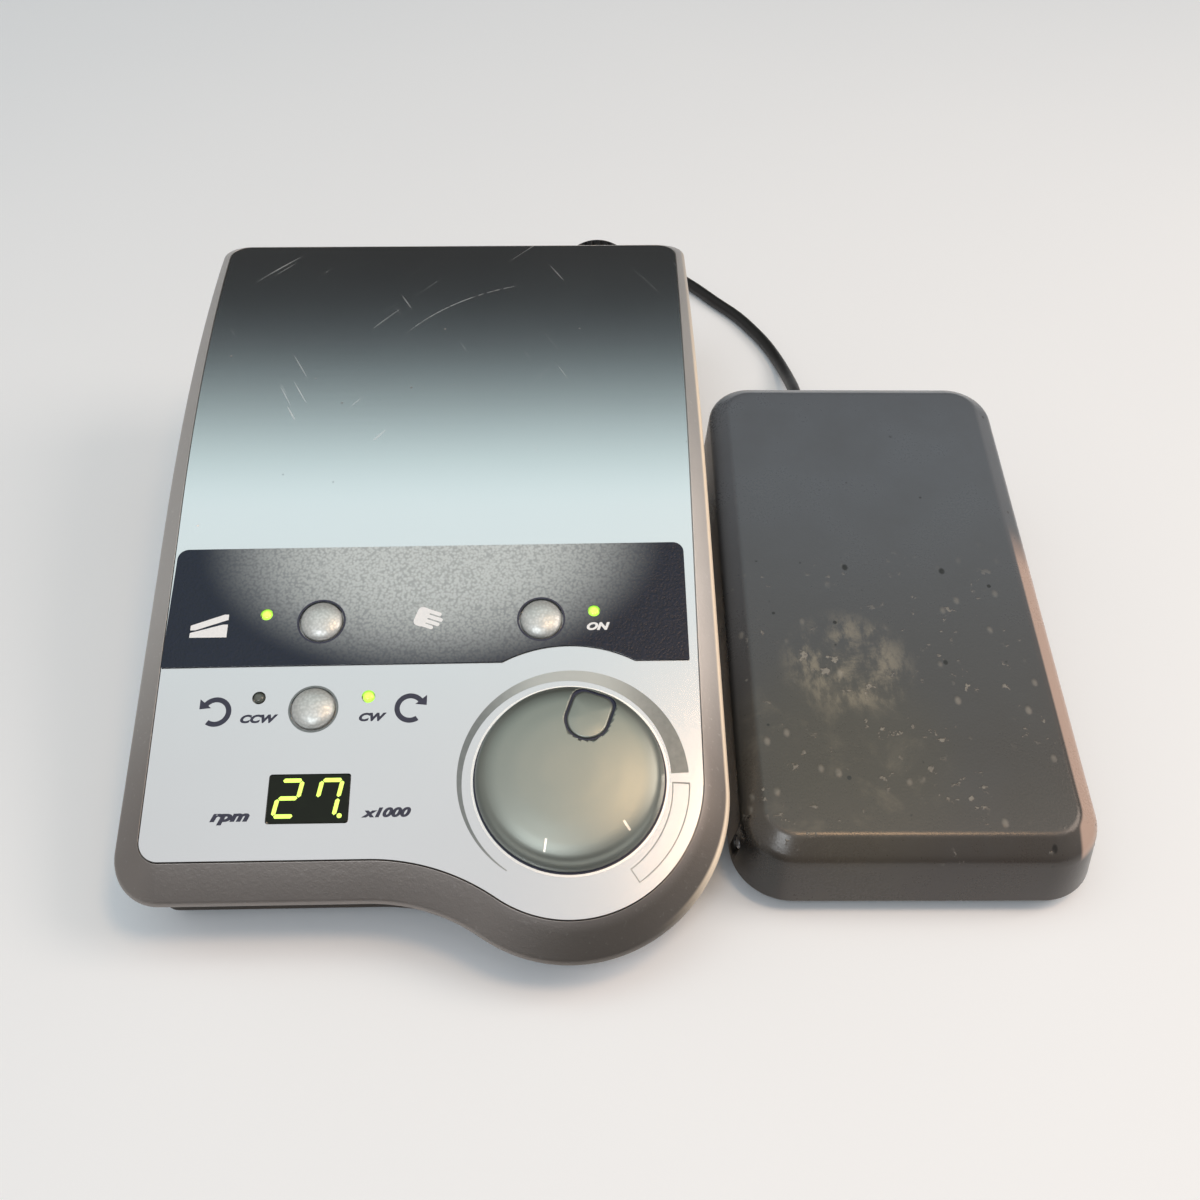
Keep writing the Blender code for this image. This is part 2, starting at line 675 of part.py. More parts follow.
def build_buttons():
    flange_top = -INNER_FACE - GAP
    flange_low = flange_top - BUTTON_FLANGE_DEEP
    stem_low = BOARD_TOP + GAP + SWITCH_BODY + SWITCH_STEM + BUTTON_TRAVEL + GAP
    profile = [
        (0, stem_low),
        (BUTTON_STEM, stem_low),
        (BUTTON_STEM, flange_low),
        (BUTTON_FLANGE, flange_low),
        (BUTTON_FLANGE, flange_top),
        (BUTTON_RADIUS, flange_top),
        (BUTTON_RADIUS, BUTTON_RISE - BUTTON_DOME),
        (BUTTON_RADIUS * 0.93, BUTTON_RISE - BUTTON_DOME / 2),
        (BUTTON_RADIUS * 0.6, BUTTON_RISE - BUTTON_DOME / 8),
        (0, BUTTON_RISE),
    ]
    for name, (x, up) in BUTTON_PLACES.items():
        piece(name, turned(name, profile, 20), BUTTON_SILVER, PANEL, (x, up, 0))
    low = BOARD_TOP + GAP
    for name, (x, up) in BUTTON_PLACES.items():
        body = prism("switch", rectangle(SWITCH_SIDE, SWITCH_SIDE), low, low + SWITCH_BODY)
        switch = piece(name.replace("button", "switch"), body, PLASTIC_BLACK, PANEL, (x, up, 0))
        stem_top = low + SWITCH_BODY + SWITCH_STEM
        stem = prism("stem", disc(SWITCH_SIDE / 3.6, 16), low + SWITCH_BODY / 2, stem_top)
        join(switch, "stem", stem, PANEL, (x, up, 0))


def build_leds():
    low = BOARD_TOP + GAP
    collar = -PANEL_PLATE - 2 * GAP
    profile = [
        (0, low),
        (LED_COLLAR, low),
        (LED_COLLAR, collar),
        (LED_RADIUS, collar),
        (LED_RADIUS, LED_RISE - LED_RADIUS / 2),
        (LED_RADIUS * 0.7, LED_RISE - LED_RADIUS / 5),
        (0, LED_RISE),
    ]
    for name, (x, up, glow) in LED_PLACES.items():
        piece(name, turned(name, profile, 12), glow, PANEL, (x, up, 0))


def build_display():
    at = (DISPLAY_X, DISPLAY_UP, 0)
    pane = rounded(DISPLAY_WIDTH, DISPLAY_DEPTH, DISPLAY_CORNER)
    piece("display_window", prism("display_window", pane, -PANEL_PLATE, GAP / 3), WINDOW_DARK, PANEL, at)
    block = rectangle(DISPLAY_WIDTH + 2 * DISPLAY_MARGIN, DISPLAY_DEPTH + 2 * DISPLAY_MARGIN)
    top = -PANEL_PLATE - 2 * GAP
    piece("display_module", prism("display_module", block, BOARD_TOP + GAP, top), PLASTIC_BLACK, PANEL, at)


def build_control_board():
    middle = (BOARD_LOW + BOARD_HIGH) / 2
    outline = rounded(2 * BOARD_HALF, BOARD_HIGH - BOARD_LOW, BOSS_RADIUS, (0, middle), 4)
    plate = prism("control_board", outline, BOARD_TOP - BOARD_THICK, BOARD_TOP)
    board = piece("control_board", plate, BOARD_GREEN, PANEL)
    hole = prism("hole", disc(POT_NECK + GAP, 20), BOARD_TOP - BOARD_THICK - CUT, BOARD_TOP + CUT)
    cut(board, "neck_hole", hole, PANEL, (KNOB_X, KNOB_UP, 0))


def build_potentiometer():
    """Body below the board, threaded neck up through it, nut on top, and the shaft that carries the knob."""
    at = (KNOB_X, KNOB_UP, 0)
    top = BOARD_TOP - BOARD_THICK - GAP
    neck_top = BOARD_TOP + POT_NECK_RISE
    bore = SHAFT_RADIUS + GAP
    shaft_low = top - POT_DEEP * 0.6
    profile = [
        (0, top - POT_DEEP),
        (POT_RADIUS, top - POT_DEEP),
        (POT_RADIUS, top),
        (POT_NECK, top),
        (POT_NECK, neck_top),
        (bore, neck_top),
        (bore, shaft_low - GAP),
        (0, shaft_low - GAP),
    ]
    piece("potentiometer", turned("potentiometer", profile), STEEL, PANEL, at)
    nut = piece(
        "potentiometer_nut",
        prism("potentiometer_nut", disc(NUT_RADIUS, 6), BOARD_TOP + GAP, BOARD_TOP + GAP + NUT_DEEP),
        STEEL,
        PANEL,
        at,
    )
    cut(nut, "bore", prism("hole", disc(POT_NECK + GAP, 20), BOARD_TOP - CUT, neck_top + CUT), PANEL, at)
    shaft_top = KNOB_HEIGHT - KNOB_WEB
    profile = [(0, shaft_low), (SHAFT_RADIUS, shaft_low), (SHAFT_RADIUS, shaft_top), (0, shaft_top)]
    piece("potentiometer_shaft", turned("potentiometer_shaft", profile), STEEL, PANEL, at)


def build_knob():
    """A shallow domed dial, hollow below, with a hub on the shaft and a tongue-shaped pointer let in."""
    at = (KNOB_X, KNOB_UP, 0)
    turn = (0, 0, KNOB_REST_TURN)
    low = RUN_FIT
    edge_top = KNOB_HEIGHT - KNOB_EDGE
    bore_top = KNOB_HEIGHT - KNOB_WEB + GAP
    bore = SHAFT_RADIUS + GAP
    web = KNOB_HEIGHT - KNOB_WEB
    profile = [
        (0, bore_top),
        (bore, bore_top),
        (bore, low),
        (KNOB_HUB, low),
        (KNOB_HUB, web),
        (KNOB_RADIUS - KNOB_WALL, web),
        (KNOB_RADIUS - KNOB_WALL, low),
        (KNOB_RADIUS, low),
        (KNOB_RADIUS, edge_top),
        (KNOB_RADIUS - KNOB_EDGE * 0.3, edge_top + KNOB_EDGE * 0.7),
        (KNOB_RADIUS - KNOB_EDGE, KNOB_HEIGHT),
        (KNOB_RADIUS * 0.6, KNOB_HEIGHT + KNOB_DOME * 0.75),
        (0, KNOB_HEIGHT + KNOB_DOME),
    ]
    knob = piece("speed_knob", turned("speed_knob", profile, 48), KNOB_SILVER, PANEL, at, turn)
    floor = KNOB_HEIGHT - TONGUE_DEEP + KNOB_DOME / 4
    cut(knob, "tongue_slot", prism("slot", tongue(GAP), floor, KNOB_HEIGHT + CUT), PANEL, at, turn)
    top = KNOB_HEIGHT + KNOB_DOME / 6
    indicator = prism("knob_indicator", tongue(0), floor + GAP, top)
    piece("knob_indicator", indicator, KNOB_SILVER, PANEL, at, turn)


def tongue(grow):
    """A tongue reaching in from just inside the knob's edge, with a round inner end."""
    half = TONGUE_HALF + grow
    outer = KNOB_RADIUS - KNOB_WALL + grow
    inner = KNOB_RADIUS - KNOB_WALL - TONGUE_LENGTH - grow
    corner = TONGUE_HALF * 0.35
    points = arc((half - corner, outer - corner), corner, 0, 90, 4)
    points += arc((corner - half, outer - corner), corner, 90, 180, 4)
    points += arc((0, inner + half), half, 180, 360, 12)
    return points


# Inside the control box
def build_main_board():
    floor = FOOT_HEIGHT + TRAY_FLOOR + MAIN_BOARD_STAND + GAP
    middle = ((MAIN_BOARD_LEFT + MAIN_BOARD_RIGHT) / 2, (MAIN_BOARD_FRONT + MAIN_BOARD_REAR) / 2)
    outline = rectangle(MAIN_BOARD_RIGHT - MAIN_BOARD_LEFT, MAIN_BOARD_REAR - MAIN_BOARD_FRONT, middle)
    piece("main_board", prism("main_board", outline, floor, floor + BOARD_THICK), BOARD_GREEN)
    top = floor + BOARD_THICK + GAP
    for i, y in enumerate(CAPACITOR_Y):
        name = f"filter_capacitor_{i + 1}"
        rim = CAPACITOR_RADIUS * 0.12
        profile = [
            (0, 0),
            (CAPACITOR_RADIUS - rim, 0),
            (CAPACITOR_RADIUS, rim),
            (CAPACITOR_RADIUS, CAPACITOR_HEIGHT - rim),
            (CAPACITOR_RADIUS - rim, CAPACITOR_HEIGHT),
            (0, CAPACITOR_HEIGHT),
        ]
        piece(name, turned(name, profile, 20), SLEEVE_BLUE, ASSEMBLY, (CAPACITOR_X, y, top))
    pitch = (SINK_WIDTH - SINK_FIN) / (SINK_FINS - 1)
    comb = [(SINK_WIDTH, 0), (SINK_WIDTH, SINK_FIN_HEIGHT)]
    for i in range(SINK_FINS - 1):
        edge = SINK_WIDTH - SINK_FIN - i * pitch
        next_edge = edge - pitch + SINK_FIN
        comb += [(edge, SINK_FIN_HEIGHT), (edge, SINK_BASE)]
        comb += [(next_edge, SINK_BASE), (next_edge, SINK_FIN_HEIGHT)]
    comb += [(0, SINK_FIN_HEIGHT), (0, 0)]
    at = (SINK_X - SINK_WIDTH / 2, SINK_Y + SINK_LENGTH / 2, top)
    piece("heat_sink", prism("heat_sink", comb, 0, SINK_LENGTH), ALUMINIUM, ASSEMBLY, at, (math.pi / 2, 0, 0))
    at = (SINK_X + SINK_WIDTH / 2 + GAP + TRANSISTOR_DEEP / 2, SINK_Y, top)
    block = rectangle(TRANSISTOR_DEEP, TRANSISTOR_WIDTH)
    transistor = prism("power_transistor", block, 0, TRANSISTOR_HEIGHT)
    piece("power_transistor", transistor, PLASTIC_BLACK, ASSEMBLY, at)


def build_transformer():
    """A laminated core like a figure eight, with the winding round its middle limb."""
    low = FOOT_HEIGHT + TRAY_FLOOR + GAP
    at = (CORE_X, CORE_Y, low)
    block = rectangle(CORE_WIDTH, CORE_THICK)
    core = piece("transformer_core", prism("transformer_core", block, 0, CORE_HEIGHT), STEEL, ASSEMBLY, at)
    limb = CORE_WIDTH - 2 * CORE_LIMB - 2 * CORE_WINDOW
    for i, side in enumerate((-1, 1)):
        centre = (side * (limb + CORE_WINDOW) / 2, 0)
        window = rectangle(CORE_WINDOW, CORE_THICK + 2 * CUT, centre)
        cut(core, f"window_{i}", prism("window", window, CORE_LIMB, CORE_HEIGHT - CORE_LIMB), ASSEMBLY, at)
    spread = CORE_WINDOW - 2 * GAP
    outline = rounded(limb + 2 * spread, CORE_THICK + 2 * WINDING_OUT, CORE_LIMB / 2)
    bottom = CORE_LIMB + GAP
    top = CORE_HEIGHT - CORE_LIMB - GAP
    coil = prism("transformer_winding", outline, bottom, top)
    winding = piece("transformer_winding", coil, COPPER, ASSEMBLY, at)
    bore = rectangle(limb + 2 * GAP, CORE_THICK + 2 * GAP)
    cut(winding, "bore", prism("bore", bore, bottom - CUT, top + CUT), ASSEMBLY, at)


# Rear panel and what it carries
PANEL_OUT = GAP + REAR_PANEL_THICK
SEAT_OUT = PANEL_OUT + GAP


def build_rear_panel():
    middle = ((REAR_PANEL_LEFT + REAR_PANEL_RIGHT) / 2, (REAR_PANEL_LOW + REAR_PANEL_HIGH) / 2)
    outline = rounded(
        REAR_PANEL_RIGHT - REAR_PANEL_LEFT, REAR_PANEL_HIGH - REAR_PANEL_LOW, REAR_PANEL_CORNER, middle
    )
    panel = piece("rear_panel", prism("rear_panel", outline, GAP, PANEL_OUT), ALUMINIUM, REAR)
    holes = {
        "inlet_hole": (inlet_outline(GAP), INLET_X, INLET_Z),
        "switch_hole": (
            rectangle(ROCKER_WIDTH + 2 * (ROCKER_RIM / 2 + GAP), ROCKER_LENGTH + 2 * (ROCKER_RIM / 2 + GAP)),
            ROCKER_X,
            ROCKER_Z,
        ),
        "fuse_hole": (disc(FUSE_RADIUS + GAP), FUSE_X, FUSE_Z),
        "socket_hole": (disc(SOCKET_BODY + GAP), SOCKET_X, SOCKET_Z),
        "jack_hole": (disc(JACK_BODY + GAP), JACK_X, JACK_Z),
    }
    for name, (hole, x, z) in holes.items():
        cut(panel, name, prism("hole", hole, -CUT, PANEL_OUT + CUT), REAR, (x, z, 0))


def inlet_outline(grow, wall=0.0):
    """The mains inlet's body, with its two lower corners cut off."""
    x = INLET_WIDTH / 2 + grow - wall
    z = INLET_HEIGHT / 2 + grow - wall
    slant = INLET_CHAMFER
    return [(x, z - slant), (x - slant, z), (slant - x, z), (-x, z - slant), (-x, -z), (x, -z)]


def build_mains_inlet():
    at = (INLET_X, INLET_Z, 0)
    front = SEAT_OUT + INLET_FLANGE
    body = prism("mains_inlet", inlet_outline(0), -INLET_DEEP, front - INLET_FLANGE / 2)
    inlet = piece("mains_inlet", body, PLASTIC_BLACK, REAR, at)
    flange = rounded(INLET_WIDTH + 2 * INLET_RIM, INLET_HEIGHT + 2 * INLET_RIM, INLET_RIM / 2)
    join(inlet, "flange", prism("flange", flange, SEAT_OUT, front), REAR, at)
    recess = prism("recess", inlet_outline(0, INLET_WALL), front - INLET_RECESS, front + CUT)
    cut(inlet, "recess", recess, REAR, at)
    for i, (x, z) in enumerate(((-PIN_PITCH, -PIN_DROP), (0, PIN_DROP), (PIN_PITCH, -PIN_DROP))):
        blade = rectangle(PIN_THICK, PIN_WIDTH, (x, z))
        contact = prism("pin", blade, front - INLET_RECESS - CUT, front - PIN_SETBACK)
        join(inlet, f"pin_{i}", contact, REAR, at)


def build_power_switch():
    at = (ROCKER_X, ROCKER_Z, 0)
    top = SEAT_OUT + ROCKER_FRAME
    wide = ROCKER_WIDTH + 2 * RUN_FIT
    long = ROCKER_LENGTH + 2 * RUN_FIT
    body = rectangle(ROCKER_WIDTH + ROCKER_RIM, ROCKER_LENGTH + ROCKER_RIM)
    case = prism("power_switch_frame", body, -ROCKER_DEEP, top - ROCKER_FRAME / 2)
    switch = piece("power_switch_frame", case, PLASTIC_BLACK, REAR, at)
    flange = rounded(wide + 2 * ROCKER_RIM, long + 2 * ROCKER_RIM, ROCKER_RIM / 2)
    join(switch, "flange", prism("flange", flange, SEAT_OUT, top), REAR, at)
    well = rectangle(wide, long)
    cut(switch, "well", prism("well", well, -ROCKER_DEEP / 2, top + CUT), REAR, at)
    half = ROCKER_LENGTH / 2
    dip = half * math.tan(ROCKER_TILT)
    side = [
        (half, ROCKER_RISE - dip),
        (half, 0),
        (half * 0.5, -ROCKER_RISE),
        (-half * 0.5, -ROCKER_RISE),
        (-half, 0),
        (-half, ROCKER_RISE - dip),
        (0, ROCKER_RISE - dip * 0.9),
    ]
    lifted = [(y, z + dip) for y, z in side]
    outline = [lifted[0]] + [lifted[-1]] + [lifted[5], lifted[4], lifted[3], lifted[2], lifted[1]]
    rings = [[(x, y, z) for y, z in outline] for x in (-ROCKER_WIDTH / 2, ROCKER_WIDTH / 2)]
    rocker = loft("power_switch_rocker", rings)
    pivot = (ROCKER_X, ROCKER_Z, SEAT_OUT + ROCKER_FRAME / 2)
    piece("power_switch_rocker", rocker, PLASTIC_BLACK, REAR, pivot, (-ROCKER_TILT, 0, 0))


def build_fuse_holder():
    at = (FUSE_X, FUSE_Z, 0)
    rim = SEAT_OUT + INLET_FLANGE / 2
    bore = FUSE_RADIUS - INLET_WALL
    profile = [
        (0, -FUSE_DEEP),
        (FUSE_RADIUS, -FUSE_DEEP),
        (FUSE_RADIUS, SEAT_OUT),
        (FUSE_FLANGE, SEAT_OUT),
        (FUSE_FLANGE, rim),
        (bore, rim),
        (bore, -FUSE_DEEP / 2),
        (0, -FUSE_DEEP / 2),
    ]
    piece("fuse_holder", turned("fuse_holder", profile), PLASTIC_BLACK, REAR, at)
    low = rim + GAP
    plug = bore - GAP
    profile = [
        (0, -FUSE_DEEP / 2 + GAP),
        (plug, -FUSE_DEEP / 2 + GAP),
        (plug, low),
        (FUSE_CAP_RADIUS, low),
        (FUSE_CAP_RADIUS, low + FUSE_CAP_RISE * 0.8),
        (FUSE_CAP_RADIUS * 0.85, low + FUSE_CAP_RISE),
        (0, low + FUSE_CAP_RISE),
    ]
    cap = piece("fuse_cap", turned("fuse_cap", profile), PLASTIC_BLACK, REAR, at)
    slot = rectangle(FUSE_CAP_RADIUS * 1.3, FUSE_CAP_RADIUS * 0.2)
    cut(cap, "slot", prism("slot", slot, low + FUSE_CAP_RISE * 0.7, low + FUSE_CAP_RISE + CUT), REAR, at)


def build_handpiece_socket():
    at = (SOCKET_X, SOCKET_Z, 0)
    neck = SEAT_OUT + INLET_FLANGE / 2
    end = neck + SOCKET_COLLAR
    profile = [
        (0, -SOCKET_DEEP),
        (SOCKET_BODY, -SOCKET_DEEP),
        (SOCKET_BODY, SEAT_OUT),
        (SOCKET_FLANGE, SEAT_OUT),
        (SOCKET_FLANGE, neck),
        (SOCKET_RADIUS, neck + GAP),
        (SOCKET_RADIUS, end - RIM_ROUND),
        (SOCKET_RADIUS - RIM_ROUND, end),
        (SOCKET_BORE, end),
        (SOCKET_BORE, end - SOCKET_BORE_DEEP),
        (0, end - SOCKET_BORE_DEEP),
    ]
    socket = piece("handpiece_socket", turned("handpiece_socket", profile, 28), PLASTIC_BLACK, REAR, at)
    for i in range(4):
        angle = FULL_TURN * (i + 0.5) / 4
        x = SOCKET_BORE * 0.55 * math.cos(angle)
        z = SOCKET_BORE * 0.55 * math.sin(angle)
        low = end - SOCKET_BORE_DEEP - CUT
        pin = prism("pin", disc(SOCKET_BORE * 0.12, 8), low, end - SOCKET_BORE_DEEP * 0.4)
        join(socket, f"pin_{i}", pin, REAR, (SOCKET_X + x, SOCKET_Z + z, 0))


def build_pedal_jack():
    at = (JACK_X, JACK_Z, 0)
    end = SEAT_OUT + JACK_COLLAR
    profile = [
        (0, -JACK_DEEP),
        (JACK_BODY, -JACK_DEEP),
        (JACK_BODY, SEAT_OUT),
        (JACK_RADIUS, SEAT_OUT),
        (JACK_RADIUS, end),
        (JACK_BORE, end),
        (JACK_BORE, end - JACK_BORE_DEEP),
        (0, end - JACK_BORE_DEEP),
    ]
    piece("pedal_jack", turned("pedal_jack", profile), STEEL, REAR, at)
    low = end + GAP
    profile = [
        (0, low - PLUG_TIP_LENGTH),
        (PLUG_TIP, low - PLUG_TIP_LENGTH + PLUG_TIP / 3),
        (PLUG_TIP, low),
        (PLUG_RADIUS, low),
        (PLUG_RADIUS, low + PLUG_LENGTH * 0.6),
        (PLUG_RADIUS * 0.75, low + PLUG_LENGTH * 0.66),
        (CORD_RADIUS * 1.3, low + PLUG_LENGTH),
        (0, low + PLUG_LENGTH),
    ]
    piece("cord_plug", turned("cord_plug", profile), PLASTIC_BLACK, REAR, at)


FOOT_PLACES = [(x, y) for y in (FOOT_FRONT_Y, FOOT_REAR_Y) for x in (-FOOT_X, FOOT_X)]


def build_feet():
    names = ("foot_front_left", "foot_front_right", "foot_rear_left", "foot_rear_right")
    top = FOOT_HEIGHT - GAP
    edge = FOOT_HEIGHT / 4
    profile = [
        (0, 0),
        (FOOT_RADIUS - edge, 0),
        (FOOT_RADIUS, edge),
        (FOOT_RADIUS, top),
        (FOOT_STEM, top),
        (FOOT_STEM, FOOT_HEIGHT + TRAY_FLOOR),
        (0, FOOT_HEIGHT + TRAY_FLOOR),
    ]
    for name, (x, y) in zip(names, FOOT_PLACES):
        piece(name, turned(name, profile, 20), RUBBER_BLACK, ASSEMBLY, (x, y, 0))


# Foot pedal
def along(front, rear, y):
    return front + (rear - front) * y / PEDAL_LENGTH


def pedal_plan(inset):
    middle = (0, PEDAL_LENGTH / 2)
    corner = max(PEDAL_CORNER - inset, PEDAL_CORNER / 4)
    return rounded(2 * (PEDAL_HALF - inset), PEDAL_LENGTH - 2 * inset, corner, middle, 7)


def pedal_ring(inset, front, rear, drop=0.0):
    return [(x, y, along(front, rear, y) - drop) for x, y in pedal_plan(inset)]


def build_pedal_cover():
    """A shell with drafted sides and a rounded shoulder, tilting on the pin near its front."""
    top = (PEDAL_FRONT_TOP, PEDAL_REAR_TOP)
    rim = (PEDAL_RIM_FRONT, PEDAL_RIM_REAR)
    wall = PEDAL_WALL
    rings = [
        pedal_ring(PEDAL_DRAFT + PEDAL_EDGE * 0.6, *top, wall),
        pedal_ring(PEDAL_DRAFT + wall, *top, PEDAL_SHOULDER),
        pedal_ring(wall, *rim),
        pedal_ring(0, *rim),
        pedal_ring(PEDAL_DRAFT, *top, PEDAL_SHOULDER),
        pedal_ring(PEDAL_DRAFT + PEDAL_EDGE * 0.1, *top, PEDAL_SHOULDER * 0.62),
        pedal_ring(PEDAL_DRAFT + PEDAL_EDGE * 0.34, *top, PEDAL_SHOULDER * 0.28),
        pedal_ring(PEDAL_DRAFT + PEDAL_EDGE * 0.66, *top, PEDAL_SHOULDER * 0.07),
        pedal_ring(PEDAL_DRAFT + PEDAL_EDGE, *top),
    ]
    pivot = Vector((0, PIN_Y, PIN_Z))
    rings = [[Vector(p) - pivot for p in ring] for ring in rings]
    cover = piece("pedal_cover", loft("pedal_cover", rings), PEDAL_GREY, PEDAL, pivot)
    pin = disc(PIN_RADIUS + GAP, 16)
    reach = PEDAL_HALF + CUT
    cut(cover, "pin_hole", prism("hole", pin, -reach, reach), PEDAL, pivot, (0, math.pi / 2, 0))
    notch = arc((0, NOTCH_TOP - NOTCH_HALF), NOTCH_HALF, 0, 180, 9)
    notch += [(-NOTCH_HALF, -CUT), (NOTCH_HALF, -CUT)]
    slot = prism("notch", notch, -wall * 2, wall * 2)
    cut(cover, "cord_notch", slot, PEDAL, (RELIEF_X, PEDAL_LENGTH, 0), (math.pi / 2, 0, 0))
    for i, side in enumerate((-1, 1)):
        ceiling = along(*top, SPRING_Y) - wall / 2
        pad = prism("pad", disc(SPRING_PAD_RADIUS, 16), SPRING_PAD_LOW, ceiling)
        join(cover, f"spring_pad_{i}", pad, PEDAL, (side * SPRING_X, SPRING_Y, 0))


def build_pedal_base():
    inset = PEDAL_WALL + PEDAL_BASE_CLEAR
    top = (PEDAL_BASE_FRONT_TOP, PEDAL_BASE_REAR_TOP)
    floor = PEDAL_BASE_LOW + PEDAL_BASE_FLOOR
    inner = pedal_plan(inset + PEDAL_BASE_WALL)
    rings = [
        level(pedal_plan(inset + PEDAL_BASE_WALL / 2), PEDAL_BASE_LOW),
        level(pedal_plan(inset), PEDAL_BASE_LOW + PEDAL_BASE_WALL / 2),
        pedal_ring(inset, *top),
        pedal_ring(inset + PEDAL_BASE_WALL, *top),
        level(inner, floor),
    ]
    base = piece("pedal_base", loft("pedal_base", rings), PEDAL_DARK, PEDAL)
    root = floor - PEDAL_BASE_FLOOR / 2
    for i, side in enumerate((-1, 1)):
        lug = prism("lug", rectangle(LUG_WIDTH, LUG_LENGTH), root, LUG_TOP)
        join(base, f"lug_{i}", lug, PEDAL, (side * LUG_X, PIN_Y, 0))
        guide = prism("guide", disc(SPRING_GUIDE, 16), root, floor + SPRING_GUIDE_RISE)
        join(base, f"spring_guide_{i}", guide, PEDAL, (side * SPRING_X, SPRING_Y, 0))
    join(base, "stop_post", prism("post", disc(STOP_RADIUS, 16), root, STOP_POST_TOP), PEDAL, (0, STOP_Y, 0))
    pin = prism("hole", disc(PIN_RADIUS + GAP, 16), -LUG_X - LUG_WIDTH, LUG_X + LUG_WIDTH)
    cut(base, "pin_hole", pin, PEDAL, (0, PIN_Y, PIN_Z), (0, math.pi / 2, 0))
    relief = prism("hole", disc(RELIEF_RADIUS + GAP, 20), -2 * inset - PEDAL_BASE_WALL, CUT)
    cut(base, "relief_hole", relief, PEDAL, (RELIEF_X, PEDAL_LENGTH, RELIEF_Z), (-math.pi / 2, 0, 0))


def build_pedal_pin():
    chamfer = PIN_RADIUS / 4
    profile = [
        (0, -PIN_HALF),
        (PIN_RADIUS - chamfer, -PIN_HALF),
        (PIN_RADIUS, chamfer - PIN_HALF),
        (PIN_RADIUS, PIN_HALF - chamfer),
        (PIN_RADIUS - chamfer, PIN_HALF),
        (0, PIN_HALF),
    ]
    pin = turned("pedal_hinge_pin", profile, 16)
    piece("pedal_hinge_pin", pin, STEEL, PEDAL, (0, PIN_Y, PIN_Z), (0, math.pi / 2, 0))


def tube(name, points, radius, material, parent, resolution):
    curve = bpy.data.curves.new(name, "CURVE")
    curve.dimensions = "3D"
    curve.bevel_depth = radius
    curve.bevel_resolution = resolution
    curve.use_fill_caps = True
    spline = curve.splines.new("POLY")
    spline.points.add(len(points) - 1)
    for point, place in zip(spline.points, points):
        point.co = (*place, 1.0)
    obj = bpy.data.objects.new(name, curve)
    bpy.context.scene.collection.objects.link(obj)
    obj.parent = parent
    curve.materials.append(material)
    return obj


def build_pedal_springs():
    """Compression springs whose end turns close up on their seats."""
    low = PEDAL_BASE_LOW + PEDAL_BASE_FLOOR + GAP + SPRING_WIRE
    high = SPRING_PAD_LOW - GAP - SPRING_WIRE
    shut = 2.6 * SPRING_WIRE
    count = SPRING_TURNS * SPRING_TURN_POINTS
    for name, side in (("pedal_spring_left", -1), ("pedal_spring_right", 1)):
        points = []
        for i in range(count + 1):
            turns = i / SPRING_TURN_POINTS
            opened = min(max(turns - 1, 0), SPRING_TURNS - 2) / (SPRING_TURNS - 2)
            closed = min(turns, 1) + max(turns - SPRING_TURNS + 1, 0)
            z = low + shut * closed + (high - low - 2 * shut) * opened
            angle = FULL_TURN * turns
            points.append((SPRING_RADIUS * math.cos(angle), SPRING_RADIUS * math.sin(angle), z))
        spring = tube(name, points, SPRING_WIRE, STEEL, PEDAL, 1)
        spring.location = (side * SPRING_X, SPRING_Y, 0)


def build_pedal_inside():
    low = STOP_POST_TOP + GAP
    buffer = turned(
        "pedal_stop_buffer",
        [
            (0, low),
            (STOP_RADIUS, low),
            (STOP_RADIUS, low + STOP_BUFFER * 0.7),
            (STOP_RADIUS * 0.8, low + STOP_BUFFER),
            (0, low + STOP_BUFFER),
        ],
        20,
    )
    piece("pedal_stop_buffer", buffer, RUBBER_BLACK, PEDAL, (0, STOP_Y, 0))
    front = MAGNET_Y - MAGNET_LENGTH / 2
    ceiling = along(PEDAL_FRONT_TOP, PEDAL_REAR_TOP, front) - PEDAL_WALL - GAP
    arm = prism("pedal_magnet_arm", rectangle(MAGNET_WIDTH, MAGNET_LENGTH), MAGNET_LOW, ceiling)
    piece("pedal_magnet_arm", arm, PLASTIC_BLACK, PEDAL, (0, MAGNET_Y, 0))
    floor = PEDAL_BASE_LOW + PEDAL_BASE_FLOOR + GAP
    card = prism("pedal_sensor_board", rectangle(SENSOR_WIDTH, SENSOR_LENGTH), floor, SENSOR_TOP)
    piece("pedal_sensor_board", card, BOARD_GREEN, PEDAL, (SENSOR_SIDE, MAGNET_Y, 0))
    strip = rounded(STRIP_WIDTH, STRIP_LENGTH, STRIP_LENGTH / 3, count=4)
    for name, y in (("pedal_grip_front", STRIP_EDGE), ("pedal_grip_rear", PEDAL_LENGTH - STRIP_EDGE)):
        piece(name, prism(name, strip, 0, PEDAL_BASE_LOW - GAP), RUBBER_BLACK, PEDAL, (0, y, 0))


